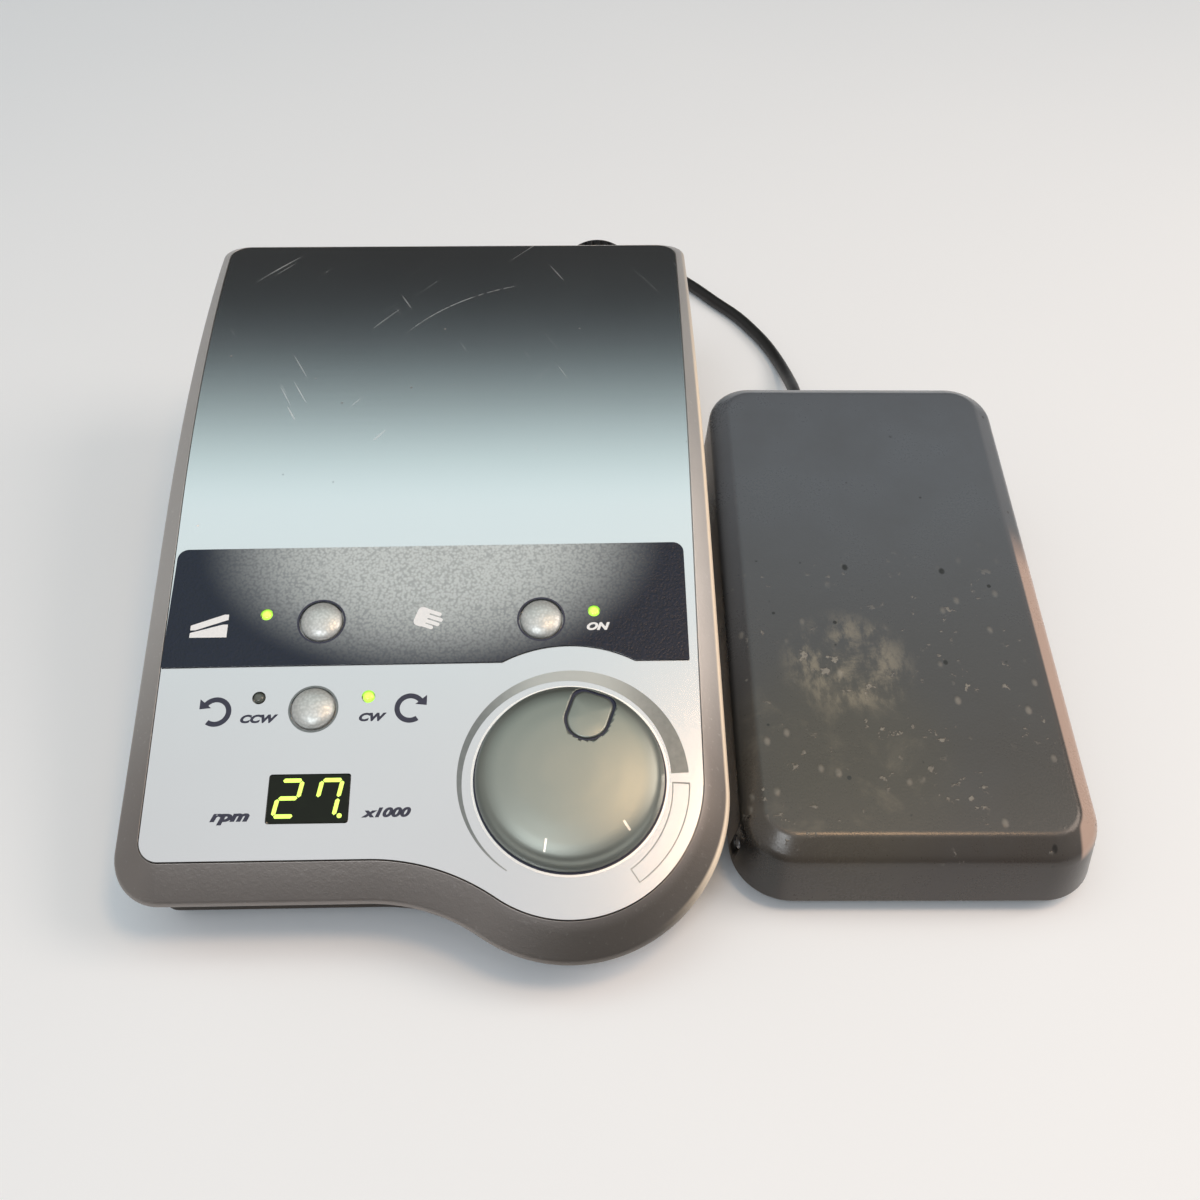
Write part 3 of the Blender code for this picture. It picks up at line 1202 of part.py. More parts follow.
def build_strain_relief():
    """A ribbed rubber sleeve through the base's rear wall, flanged inside."""
    wall = PEDAL_WALL + PEDAL_BASE_CLEAR
    inside = -wall - PEDAL_BASE_WALL - GAP
    profile = [
        (0, inside - PEDAL_BASE_WALL),
        (RELIEF_FLANGE, inside - PEDAL_BASE_WALL),
        (RELIEF_FLANGE, inside),
        (RELIEF_RADIUS, inside),
        (RELIEF_RADIUS, 0),
    ]
    ribs = RELIEF_RIBS
    for i in range(ribs):
        start = RELIEF_LENGTH * i / ribs
        end = RELIEF_LENGTH * (i + 0.6) / ribs
        radius = RELIEF_RADIUS + (RELIEF_END - RELIEF_RADIUS) * i / ribs
        profile += [(radius, start + GAP), (radius, end), (radius * 0.82, end + GAP)]
        profile.append((radius * 0.82, RELIEF_LENGTH * (i + 1) / ribs))
    profile.append((0, RELIEF_LENGTH))
    sleeve = turned("pedal_strain_relief", profile, 14)
    at = (RELIEF_X, PEDAL_LENGTH, RELIEF_Z)
    piece("pedal_strain_relief", sleeve, RUBBER_BLACK, PEDAL, at, (-math.pi / 2, 0, 0))


# Pedal cord
def smooth_route(route, step):
    """Points at even steps along a smooth curve through the route; its end stretches stay straight."""
    guide = [Vector(p) for p in route]
    fine = []
    for a, b, c, d in zip(guide, guide[1:], guide[2:], guide[3:]):
        for t in np.linspace(0, 1, 40, endpoint=False):
            bend = (2 * a - 5 * b + 4 * c - d) * t**2
            twist = (3 * b - a - 3 * c + d) * t**3
            fine.append(0.5 * (2 * b + (c - a) * t + bend + twist))
    fine.append(guide[-2])
    lengths = [0.0]
    for a, b in zip(fine, fine[1:]):
        lengths.append(lengths[-1] + (b - a).length)
    count = max(round(lengths[-1] / step), 2)
    wanted = np.linspace(0, lengths[-1], count + 1)
    tracks = [np.interp(wanted, lengths, [p[axis] for p in fine]) for axis in range(3)]
    even = [Vector(map(float, place)) for place in zip(*tracks)]
    return [guide[0]] + even + [guide[-1]]


def coil_points():
    """Two flat layers: the lower spirals in, the climb takes half a turn, the upper spirals out again."""
    count = round(COIL_TURNS * COIL_LOOP_POINTS)
    climb = COIL_LOOP_POINTS // 2
    points = []
    start = COIL_INNER + COIL_PITCH * COIL_TURNS / 2
    for i in range(count + 1):
        inward = min(i, count - i) / COIL_LOOP_POINTS
        rise = min(max((i - count / 2 + climb / 2) / climb, 0), 1)
        radius = start - COIL_PITCH * inward
        angle = -FULL_TURN * i / COIL_LOOP_POINTS
        z = COIL_LOW + COIL_LAYER * (3 * rise**2 - 2 * rise**3)
        points.append(Vector((radius * math.cos(angle), radius * math.sin(angle), z)))
    return points


def least_gap(points, apart, diameter):
    """The least distance between the tube and itself, over points more than `apart` steps from each other."""
    places = np.array([tuple(p) for p in points])
    between = np.linalg.norm(places[:, None] - places[None, :], axis=2)
    steps = np.abs(np.subtract.outer(np.arange(len(places)), np.arange(len(places))))
    return float(between[steps > apart].min()) - diameter


def build_cord():
    coil = coil_points()
    middle = Vector((COIL_X, COIL_Y, 0))
    first = coil[0] + Vector((0, 2 * CORD_RADIUS, 0))
    last = coil[-1] + Vector((2 * CORD_RADIUS, 0, 0))
    laid = [middle + p for p in [first] + coil + [last]]
    tube("cord_coil", laid, CORD_RADIUS, RUBBER_BLACK, ASSEMBLY, 1)
    gap = least_gap(coil, COIL_LOOP_POINTS // 2, 2 * CORD_RADIUS)
    print(f"least gap between the coil's turns: {gap * 1000:.2f} mm")
    plug_end = Vector((-JACK_X, REAR_WALL + SEAT_OUT + JACK_COLLAR + 2 * GAP + PLUG_LENGTH, JACK_Z))
    into_coil = laid[0] + Vector((0, GAP, 0))
    lead_route = [plug_end, plug_end + Vector((0, 2 * CORD_RADIUS, 0))]
    lead_route += [Vector(p) for p in LEAD_ROUTE]
    lead_route += [into_coil + Vector((0, 2 * CORD_RADIUS, 0)), into_coil]
    tube("cord_lead", smooth_route(lead_route, CORD_STEP), CORD_RADIUS, RUBBER_BLACK, ASSEMBLY, 2)
    out_of_coil = laid[-1] + Vector((GAP, 0, 0))
    tail = PEDAL_LENGTH + RELIEF_LENGTH + GAP
    turn = Matrix.Rotation(PEDAL_TURN, 3, "Z")
    end = Vector((PEDAL_X, PEDAL_Y, 0)) + turn @ Vector((RELIEF_X, tail, RELIEF_Z))
    before = Vector((PEDAL_X, PEDAL_Y, 0)) + turn @ Vector((RELIEF_X, tail + 2 * CORD_RADIUS, RELIEF_Z))
    run_route = [out_of_coil, out_of_coil + Vector((2 * CORD_RADIUS, 0, 0))]
    run_route += [Vector(p) for p in RUN_ROUTE]
    run_route += [before, end]
    run = smooth_route(run_route, CORD_STEP)
    tube("cord_run", run, CORD_RADIUS, RUBBER_BLACK, ASSEMBLY, 2)
    total = sum((b - a).length for line in (laid, run) for a, b in zip(line, line[1:]))
    print(f"cord in the coil and the run: {total:.3f} m")


# Places chosen along the cord's free stretches, on the table but for the ends
LEAD_ROUTE = [
    (0.0504, 0.266, 0.0225),
    (0.0500, 0.282, 0.0110),
    (0.0462, 0.298, 0.0040),
    (0.0370, 0.307, 0.0027),
    (0.0272, 0.301, 0.0026),
]
RUN_ROUTE = [
    (0.0080, 0.3155, 0.0062),
    (0.0300, 0.3220, 0.0030),
    (0.0560, 0.3310, 0.0026),
    (0.0780, 0.3265, 0.0026),
    (0.0928, 0.3101, 0.0026),
    (0.1027, 0.2959, 0.0026),
    (0.1108, 0.2846, 0.0026),
    (0.1165, 0.2736, 0.0026),
    (0.1212, 0.2623, 0.0026),
    (0.1246, 0.2495, 0.0030),
    (0.1264, 0.2330, 0.0058),
    (0.1262, 0.2170, 0.0105),
]


def place_origin():
    """Moves the assembly so that the origin is at the middle of the underside of everything but the cord."""
    bpy.context.view_layer.update()
    graph = bpy.context.evaluated_depsgraph_get()
    corners = []
    for obj in bpy.data.objects:
        if obj.type in ("MESH", "CURVE") and not obj.hide_render and not obj.name.startswith("cord"):
            shown = obj.evaluated_get(graph)
            corners += [shown.matrix_world @ vertex.co for vertex in shown.to_mesh().vertices]
            shown.to_mesh_clear()
    low = [min(c[axis] for c in corners) for axis in range(3)]
    high = [max(c[axis] for c in corners) for axis in range(3)]
    shift = Vector((-(low[0] + high[0]) / 2, -(low[1] + high[1]) / 2, -low[2]))
    ASSEMBLY.location = shift
    print(f"moved by {shift[0]:.5f}, {shift[1]:.5f}, {shift[2]:.5f}")


build_upper_housing()
build_base_tray()
build_top_panel()
build_label_plate()
build_buttons()
build_leds()
build_display()
build_control_board()
build_potentiometer()
build_knob()
build_main_board()
build_transformer()
build_rear_panel()
build_mains_inlet()
build_power_switch()
build_fuse_holder()
build_handpiece_socket()
build_pedal_jack()
build_feet()
build_pedal_cover()
build_pedal_base()
build_pedal_pin()
build_pedal_springs()
build_pedal_inside()
build_strain_relief()
build_cord()
place_origin()
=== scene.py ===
"""Dental laboratory micromotor: how the control box, its foot pedal and the pedal's cord look."""

import math

import bmesh
import bpy
import numpy as np
from mathutils import Matrix, Vector
from mathutils.geometry import delaunay_2d_cdt


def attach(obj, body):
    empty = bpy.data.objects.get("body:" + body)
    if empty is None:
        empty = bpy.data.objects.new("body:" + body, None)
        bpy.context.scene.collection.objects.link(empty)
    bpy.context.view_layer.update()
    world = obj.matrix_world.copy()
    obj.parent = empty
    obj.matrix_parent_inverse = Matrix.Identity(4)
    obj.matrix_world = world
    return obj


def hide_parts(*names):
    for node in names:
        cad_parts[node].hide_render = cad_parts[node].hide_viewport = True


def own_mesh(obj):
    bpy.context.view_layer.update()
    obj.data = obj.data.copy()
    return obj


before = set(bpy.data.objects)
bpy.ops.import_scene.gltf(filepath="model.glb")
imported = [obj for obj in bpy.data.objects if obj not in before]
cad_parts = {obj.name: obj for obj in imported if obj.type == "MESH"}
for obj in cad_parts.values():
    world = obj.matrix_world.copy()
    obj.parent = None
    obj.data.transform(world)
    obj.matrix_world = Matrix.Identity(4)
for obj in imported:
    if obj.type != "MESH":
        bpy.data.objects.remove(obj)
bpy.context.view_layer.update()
BOX = "control_and_base"
TURN = 2 * math.pi


# The bench and the light: a pale matt table top, a warm lamp at the right, a cool one in front, a small warm
# one above, and a graded sky that the panel mirrors. The camera looks down at about 46 degrees.
class Reading:
    """A number, colour or vector that changes over a surface; sums on it add Math nodes."""

    def __init__(self, finish, socket):
        self.finish = finish
        self.socket = socket

    def sum(self, operation, *values):
        return self.finish.node("ShaderNodeMath", {"operation": operation}, values)

    def __add__(self, other):
        return self.sum("ADD", self, other)

    __radd__ = __add__

    def __sub__(self, other):
        return self.sum("SUBTRACT", self, other)

    def __rsub__(self, other):
        return self.sum("SUBTRACT", other, self)

    def __mul__(self, other):
        return self.sum("MULTIPLY", self, other)

    __rmul__ = __mul__

    def __truediv__(self, other):
        return self.sum("DIVIDE", self, other)

    def __rtruediv__(self, other):
        return self.sum("DIVIDE", other, self)

    def __pow__(self, other):
        return self.sum("POWER", self, other)

    def between(self, low, high):
        """0 at low, 1 at high and smooth between them."""
        settings = {"interpolation_type": "SMOOTHSTEP"}
        return self.finish.node("ShaderNodeMapRange", settings, (self, low, high, 0.0, 1.0))

    def blend(self, first, second):
        """first + this * (second - first), for colours."""
        return self.finish.node("ShaderNodeMix", {"data_type": "RGBA"}, {0: self, 6: first, 7: second}, 2)

    def shift(self, move=(0, 0, 0), turn=(0, 0, 0), scale=(1, 1, 1)):
        """The place scaled, then turned, then moved."""
        return self.finish.node("ShaderNodeMapping", {"vector_type": "POINT"}, (self, move, turn, scale))

    def axes(self):
        """The place's x, y and z."""
        return [self.finish.node("ShaderNodeSeparateXYZ", values=(self,), output=i) for i in range(3)]

    def noise(self, scale, detail=3.0, rough=0.55, stretch=0.0):
        """Smooth noise at this place, with about so many lumps to the metre."""
        values = {"Vector": self, "Scale": scale, "Detail": detail, "Roughness": rough, "Distortion": stretch}
        return self.finish.node("ShaderNodeTexNoise", {}, values, "Fac")

    def cells(self, scale, feature="SMOOTH_F1"):
        """How far this place is from the nearest of many scattered points."""
        values = {"Vector": self, "Scale": scale}
        return self.finish.node("ShaderNodeTexVoronoi", {"feature": feature}, values, "Distance")


class Nodes:
    """A node tree that is written as expressions."""

    def __init__(self, tree):
        self.tree = tree

    def node(self, kind, settings=None, values=(), output=0):
        """Adds a node, sets it up, then fills or links its inputs."""
        made = self.tree.nodes.new(kind)
        for name, value in (settings or {}).items():
            if name == "stops":
                ramp = made.color_ramp.elements
                for _ in value[2:]:
                    ramp.new(0.5)
                for stop, (position, color) in zip(ramp, value):
                    stop.position = position
                    stop.color = color
            else:
                setattr(made, name, value)
        pairs = values.items() if isinstance(values, dict) else enumerate(values)
        for key, value in pairs:
            if isinstance(value, Reading):
                self.tree.links.new(value.socket, made.inputs[key])
            else:
                made.inputs[key].default_value = value
        return Reading(self, made.outputs[output])


class Finish(Nodes):
    """A procedural finish: one Principled material and what feeds it."""

    def __init__(self, name, fixed):
        self.material = bpy.data.materials.new(name)
        self.material.use_nodes = True
        super().__init__(self.material.node_tree)
        self.shader = self.tree.nodes["Principled BSDF"]
        self.spot = self.node("ShaderNodeTexCoord", output="Object")
        for socket, value in fixed.items():
            self.shader.inputs[socket].default_value = value

    def measured_from(self, origin):
        """The place on the surface, less the origin."""
        return self.spot.shift(tuple((-origin).tolist()))

    def feed(self, socket, reading):
        """Links the reading to a socket of the shader."""
        self.tree.links.new(reading.socket, self.shader.inputs[socket])

    def raise_by(self, height, distance, strength=1.0):
        """Relief: the height, from 0 to 1, times the distance in metres."""
        values = {"Strength": strength, "Distance": distance, "Height": height}
        self.feed("Normal", self.node("ShaderNodeBump", {}, values))


def rgb(red, green, blue):
    """A colour for a shader from the 0 to 255 values that a screen shows."""
    shares = np.array([red, green, blue]) / 255
    straight = np.where(shares < 0.04045, shares / 12.92, ((shares + 0.055) / 1.055) ** 2.4)
    return (*straight.tolist(), 1.0)


def grained(name, fixed, grain, dark, light, rough=None, relief=None, laid=None, glow=None):
    """A finish whose one noise blends dark into light; its roughness is rough[0] * noise + rough[1]."""
    made = Finish(name, fixed)
    noise = (made.spot.shift(scale=laid) if laid else made.spot).noise(*grain)
    made.feed("Base Color", noise.blend(rgb(*dark), rgb(*light)))
    if glow:
        made.feed("Emission Color", noise.blend(rgb(*glow[0]), rgb(*glow[1])))
    if rough:
        made.feed("Roughness", noise * rough[0] + rough[1])
    if relief:
        made.raise_by(made.spot.noise(*relief[0]), *relief[1:])
    return made


def placed(name, data):
    """A new object of this data, linked to the scene."""
    made = bpy.data.objects.new(name, data)
    bpy.context.scene.collection.objects.link(made)
    return made


CAMERA_AT = np.array([-0.01196, -0.26580, 0.28771])
CAMERA_PITCH = 0.7964
CAMERA_YAW = 0.0292
CAMERA_ROLL = 0.0092
FRAME_WIDTH = 36.0
level = math.cos(CAMERA_PITCH)
forward = np.array([math.sin(CAMERA_YAW) * level, math.cos(CAMERA_YAW) * level, -math.sin(CAMERA_PITCH)])
level_right = np.array([math.cos(CAMERA_YAW), -math.sin(CAMERA_YAW), 0])
level_up = np.cross(level_right, forward)
right = level_right * math.cos(CAMERA_ROLL) + level_up * math.sin(CAMERA_ROLL)
up = level_up * math.cos(CAMERA_ROLL) - level_right * math.sin(CAMERA_ROLL)
camera = placed("camera", bpy.data.cameras.new("camera"))
camera.data.sensor_width = FRAME_WIDTH
camera.data.lens = FRAME_WIDTH
camera.matrix_world = Matrix([*np.column_stack([right, up, -forward, CAMERA_AT]).tolist(), [0, 0, 0, 1]])
bpy.context.scene.camera = camera

bench_fixed = {"Roughness": 0.75, "Specular IOR Level": 0.2}
bench_paint = grained("bench_paint", bench_fixed, (3.0,), (238, 244, 250), (243, 248, 253))
bench_mesh = bpy.data.meshes.new("bench")
bench_mesh.from_pydata([(-3, -3, -1e-4), (3, -3, -1e-4), (3, 3, -1e-4), (-3, 3, -1e-4)], [], [(0, 1, 2, 3)])
bench_mesh.materials.append(bench_paint.material)
bench = placed("bench", bench_mesh)


def soft_light(name, at, aim, width, power, color):
    """A square panel of light at one point, facing another."""
    lamp = bpy.data.lights.new(name, "AREA")
    lamp.shape = "RECTANGLE"
    lamp.size = width
    lamp.size_y = width
    lamp.energy = power
    lamp.color = color
    body = placed(name, lamp)
    away = (Vector(at) - Vector(aim)).normalized()
    body.matrix_world = away.to_track_quat("Z", "Y").to_matrix().to_4x4()
    body.location = at


soft_light("warm_side", (1.0, -0.05, 0.95), (0, 0, 0.03), 0.6, 5.5, (1.0, 0.82, 0.70))
soft_light("cool_front", (-0.45, -1.15, 1.70), (0.0, 0.05, 0), 0.6, 9.0, (0.93, 0.97, 1.0))
soft_light("warm_top", (0.30, -0.20, 1.05), (0.0, -0.09, 0.05), 0.20, 2.0, (1.0, 0.62, 0.34))
world = bpy.data.worlds.new("room")
bpy.context.scene.world = world
bpy.context.scene.view_settings.view_transform = "Standard"
world.use_nodes = True
room = Nodes(world.node_tree)
sky_x, sky_y, sky_z = room.node("ShaderNodeTexCoord", output="Generated").axes()
over = sky_z.sum("ARCTAN2", sky_z, sky_y * -1) / math.pi
SKY = {
    0.00: (0.12, 0.11, 0.11),
    0.17: (0.12, 0.12, 0.12),
    0.26: (0.22, 0.22, 0.22),
    0.34: (0.36, 0.36, 0.36),
    0.42: (0.82, 0.80, 0.79),
    0.47: (0.98, 0.96, 0.95),
    0.52: (0.96, 0.97, 0.96),
    0.57: (1.18, 1.35, 1.34),
    0.61: (0.80, 0.96, 0.95),
    0.65: (0.40, 0.49, 0.49),
    0.70: (0.10, 0.12, 0.13),
    0.75: (0.020, 0.025, 0.028),
    0.83: (0.015, 0.015, 0.015),
    1.00: (0.05, 0.05, 0.05),
}
sky_stops = [(share, (*tone, 1.0)) for share, tone in SKY.items()]
sky = room.node("ShaderNodeValToRGB", {"stops": sky_stops}, (over,))
backdrop = sky_y.between(0.25, 0.60) * (1 - sky_z.between(0.06, 0.16))
beside = sky_x.between(0.35, 0.70) + (1 - sky_x.between(-0.70, -0.35))
lit_sky = beside.blend(backdrop.blend(sky, (0.92, 0.94, 0.97, 1.0)), (0.46, 0.45, 0.44, 1.0))
world.node_tree.links.new(lit_sky.socket, world.node_tree.nodes["Background"].inputs["Color"])


# The pedal's cord: one length of limp round vinyl-sheathed cable, 4.8 mm across, from the plug at the box's
# rear to the sleeve at the pedal's rear. The spare length lies in a flat two-layer coil behind the box.
SHIFT = np.array([-0.05183, -0.10056, 0.0])
CORD_RADIUS = 0.0024
CORD_STEP = 0.0049
COIL_MIDDLE = np.array([-0.016, 0.276, 0.0])
COIL_INNER = 0.0175
COIL_PITCH = 0.0054
COIL_TURNS = 7.75
COIL_STEPS = 24
COIL_LAYER = 0.0053
COIL_LOW = 0.0026
PLUG_END = (0.050, 0.2467, 0.030)
PEDAL_SLEEVE_END = (0.12471, 0.19910, 0.0125)
SLEEVE_LEAN = 0.0000838
LEAD_ROUTE = [(0.0504, 0.266, 0.0225), (0.0500, 0.282, 0.0110), (0.0462, 0.298, 0.0040)]
LEAD_ROUTE += [(0.0370, 0.307, 0.0027), (0.0272, 0.301, 0.0026)]
RUN_ROUTE = [(0.0080, 0.3155, 0.0062), (0.0300, 0.3220, 0.0030), (0.0560, 0.3310, 0.0026)]
RUN_ROUTE += [(0.0780, 0.3265, 0.0026), (0.0928, 0.3101, 0.0026), (0.1027, 0.2959, 0.0026)]
RUN_ROUTE += [(0.1108, 0.2846, 0.0026), (0.1165, 0.2736, 0.0026), (0.1212, 0.2623, 0.0026)]
RUN_ROUTE += [(0.1246, 0.2495, 0.0030), (0.1264, 0.2330, 0.0058), (0.1262, 0.2170, 0.0105)]


def smooth_route(route):
    """Catmull-Rom curve through the route's inner points, 40 to a stretch, taken at even steps."""
    guide = np.array(route)
    a, b, c, d = (guide[i : len(guide) - 3 + i, None] for i in range(4))
    t = np.linspace(0, 1, 40, endpoint=False)[None, :, None]
    curve = 0.5 * (2 * b + (c - a) * t + (2 * a - 5 * b + 4 * c - d) * t**2 + (3 * b - a - 3 * c + d) * t**3)
    fine = np.vstack([curve.reshape(-1, 3), guide[-2]])
    along = np.concatenate([[0], np.cumsum(np.linalg.norm(np.diff(fine, axis=0), axis=1))])
    wanted = np.linspace(0, along[-1], max(round(along[-1] / CORD_STEP), 2) + 1)
    even = np.stack([np.interp(wanted, along, fine[:, axis]) for axis in range(3)], axis=1)
    return np.vstack([guide[:1], even, guide[-1:]])


def coil_route():
    """Radius falls by one pitch a turn to the middle of the length and grows back, one layer higher."""
    count = round(COIL_TURNS * COIL_STEPS)
    step = np.arange(count + 1)
    inward = np.minimum(step, count - step) / COIL_STEPS
    rise = np.clip((step - count / 2 + 6) / 12, 0, 1)
    radius = COIL_INNER + COIL_PITCH * COIL_TURNS / 2 - COIL_PITCH * inward
    angle = -TURN * step / COIL_STEPS
    height = COIL_LOW + COIL_LAYER * (3 * rise**2 - 2 * rise**3)
    return COIL_MIDDLE + np.stack([radius * np.cos(angle), radius * np.sin(angle), height], axis=1)


coil = coil_route()
forth = np.array([0, 2 * CORD_RADIUS, 0])
coil_start = coil[0] + forth
coil_end = coil[-1] + [2 * CORD_RADIUS, 0, 0]
lead = smooth_route([PLUG_END, PLUG_END + forth, *LEAD_ROUTE, coil_start + forth, coil_start])
sleeve_front = PEDAL_SLEEVE_END + forth + [SLEEVE_LEAN, 0, 0]
run = smooth_route([coil_end, coil_end + [2 * CORD_RADIUS, 0, 0], *RUN_ROUTE, sleeve_front, PEDAL_SLEEVE_END])
cord_points = np.vstack([lead, coil, run]) + SHIFT
cord_length = float(np.linalg.norm(np.diff(cord_points, axis=0), axis=1).sum())

cord_grain = (420.0, 5.0, 0.65)
cord_relief = ((1500.0, 2.0), 0.00008, 0.5)
cord_tones = ((14, 14, 15), (31, 30, 30))
cord_sheen = {"Specular IOR Level": 0.45}
cord_vinyl = grained("cord_vinyl", cord_sheen, cord_grain, *cord_tones, (0.22, 0.32), cord_relief)

cord_curve = bpy.data.curves.new("pedal_cord", "CURVE")
cord_curve.dimensions = "3D"
cord_curve.bevel_depth = CORD_RADIUS
cord_curve.bevel_resolution = 4
cord_curve.use_fill_caps = True
cord_line = cord_curve.splines.new("POLY")
cord_line.points.add(len(cord_points) - 1)
cord_line.points.foreach_set("co", np.column_stack([cord_points, np.ones(len(cord_points))]).ravel())
cord_line.use_smooth = True
cord_curve.materials.append(cord_vinyl.material)
pedal_cord = placed("pedal_cord", cord_curve)
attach(pedal_cord, BOX)
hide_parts("cord_lead", "cord_coil", "cord_run")


# The base tray: a shallow black moulding that closes the box from below, with air slots under the
# transformer. It is moulded in one piece, and four soft feet plug into it from below.
RIM_LEFT = 0.078
RIM_RIGHT = 0.0785
RIM_FRONT = 0.0083
RIM_REAR = 0.211
REAR_CORNER = 0.006
NOSE = 0.013
BULGE = 0.0418
SWEEP = 0.052
KNOB_X = 0.0379
SLOPE = math.radians(18.5)
KNOB_Y = 0.0195 * math.cos(SLOPE)
FLAT_DEPTH = 0.095
SIDE_REAR = 0.201
BODY_INSET = 0.0078
REAR_INSET = 0.002
SEAM = 0.009
TRAY_LOW = 0.003


def bow(centre, radius, start, end, count):
    """centre + radius * (cos a, sin a), with a running from start to end degrees."""
    a = np.radians(np.linspace(start, end, count))
    return np.stack([centre[0] + radius * np.cos(a), centre[1] + radius * np.sin(a)], axis=1)


def circle(centre, radius, count):
    """A closed loop of count points at the radius round the centre."""
    return bow(centre, radius, 0, 360, count + 1)[:-1]


def drawn_in(outline, share, centre=(0.0, 0.10)):
    """centre + share * (point - centre), for each point of the outline."""
    return centre + (outline - centre) * share


def box_outline(inset, rear_inset):
    """The box from above: straight sides, a round bulge under the dial, an S-curve from it to the left."""
    left, right_side = inset - RIM_LEFT, RIM_RIGHT - inset
    front, rear = inset - RIM_FRONT, RIM_REAR - rear_inset
    nose, bulge, sweep = max(NOSE - inset, NOSE / 4), BULGE - inset, SWEEP + inset
    rise = KNOB_Y - front + sweep
    sweep_x = KNOB_X - math.sqrt((bulge + sweep) ** 2 - rise**2)
    meeting = math.degrees(math.atan2(rise, KNOB_X - sweep_x))
    edge = KNOB_X + bulge
    back = np.linspace(SIDE_REAR, KNOB_Y, 60)
    forth = back[::-1][1:]
    slant = (right_side - edge) / (SIDE_REAR - KNOB_Y)
    return np.vstack(
        [
            bow((left + REAR_CORNER, rear - REAR_CORNER), REAR_CORNER, 90, 180, 12),
            np.stack([np.full(59, left), back[1:]], axis=1),
            bow((left + nose, front + nose), nose, 180, 270, 16),
            bow((sweep_x, front - sweep), sweep, 90, meeting, 28),
            bow((KNOB_X, KNOB_Y), bulge, 180 + meeting, 360, 64)[1:],
            np.stack([edge + slant * (forth - KNOB_Y), forth], axis=1),
            bow((right_side - REAR_CORNER, rear - REAR_CORNER), REAR_CORNER, 0, 90, 12),
        ]
    )


def lifted(outline, height):
    """Every point of the outline at its height, which may be one number or one for each point."""
    return np.column_stack([outline, np.broadcast_to(height, len(outline))])


def eased(rings, radii, steps=4):
    """Each inner ring P becomes the curve (1-t)^2 A + 2t(1-t) P + t^2 B, with A and B a radius from P."""
    rings = np.asarray(rings, float)
    out = [rings[:1]]
    t = np.linspace(0, 1, steps + 1).reshape(-1, *([1] * (rings.ndim - 1)))
    for before, here, after, radius in zip(rings, rings[1:], rings[2:], radii):
        if radius == 0:
            out.append(here[None])
            continue
        reach = [np.linalg.norm(other - here, axis=-1, keepdims=True) for other in (before, after)]
        a = here + (before - here) * np.minimum(radius / np.maximum(reach[0], 1e-9), 0.48)
        b = here + (after - here) * np.minimum(radius / np.maximum(reach[1], 1e-9), 0.48)
        out.append((1 - t) ** 2 * a + 2 * t * (1 - t) * here + t**2 * b)
    out.append(rings[-1:])
    return np.concatenate(out)


def mesh_piece(name, points, faces, finish, body, stands_for=(), slot=None, crease=40):
    """One closed or open skin, welded, facing out, with edges sharper than the crease kept sharp."""
    mesh = bpy.data.meshes.new(name)
    mesh.from_pydata(np.asarray(points).reshape(-1, 3).tolist(), [], list(faces))
    work = bmesh.new()
    work.from_mesh(mesh)
    bmesh.ops.remove_doubles(work, verts=work.verts, dist=1e-6)
    bmesh.ops.dissolve_degenerate(work, edges=work.edges, dist=1e-7)
    bmesh.ops.delete(work, geom=[corner for corner in work.verts if not corner.link_faces], context="VERTS")
    bmesh.ops.recalc_face_normals(work, faces=work.faces)
    work.to_mesh(mesh)
    work.free()
    mesh.shade_smooth()
    mesh.set_sharp_from_angle(angle=math.radians(crease))
    mesh.materials.append(finish.material)
    made = placed(name, mesh)
    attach(made, body)
    if stands_for:
        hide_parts(*stands_for)
    return made


def grid_faces(rows, columns):
    """Quads of a grid whose last column meets its first."""
    i, j = np.meshgrid(np.arange(rows - 1), np.arange(columns), indexing="ij")
    k = (j + 1) % columns
    corners = [i * columns + j, i * columns + k, (i + 1) * columns + k, (i + 1) * columns + j]
    return np.stack(corners, -1).reshape(-1, 4).tolist()


def shell_piece(name, rings, *rest, **more):
    """A skin through rings of points, closed at both ends where the first and last shrink to a point."""
    rings = np.asarray(rings)
    return mesh_piece(name, rings, grid_faces(*rings.shape[:2]), *rest, **more)


tray_relief = ((1400.0, 2.0), 0.00006, 0.6)
tray_tones = ((40, 35, 31), (74, 65, 56))
dull = {"Specular IOR Level": 0.35}
tray_black = grained("tray_black", dull, (60.0, 6.0, 0.6), *tray_tones, (0.2, 0.42), tray_relief)

TRAY_FLOOR = TRAY_LOW + 0.0022
TONGUE_TOP = SEAM + 0.0017
tray_edge = box_outline(BODY_INSET + 0.0012, REAR_INSET + 0.0012)
tray_side = box_outline(BODY_INSET, REAR_INSET)
tray_tongue = box_outline(BODY_INSET + 0.0027, REAR_INSET + 0.0027)
tray_rings = [
    lifted(drawn_in(tray_edge, 0), TRAY_LOW),
    lifted(drawn_in(tray_edge, 0.97), TRAY_LOW),
    lifted(tray_edge, TRAY_LOW),
    lifted(tray_side, TRAY_LOW + 0.0012),
    lifted(tray_side, SEAM - 0.0003),
    lifted(tray_tongue, SEAM - 0.0003),
    lifted(tray_tongue, TONGUE_TOP),
    lifted(drawn_in(tray_tongue, 0.985), TONGUE_TOP),
    lifted(drawn_in(tray_tongue, 0.985), TRAY_FLOOR),
    lifted(drawn_in(tray_tongue, 0), TRAY_FLOOR),
]
tray_rings = eased([ring + SHIFT for ring in tray_rings], [0, 0.0004, 0.0005, 0.0003, 0.0002, 0, 0, 0], 3)
tray = shell_piece("tray", tray_rings, tray_black, BOX, stands_for=("base_tray",), slot="plastic_black")


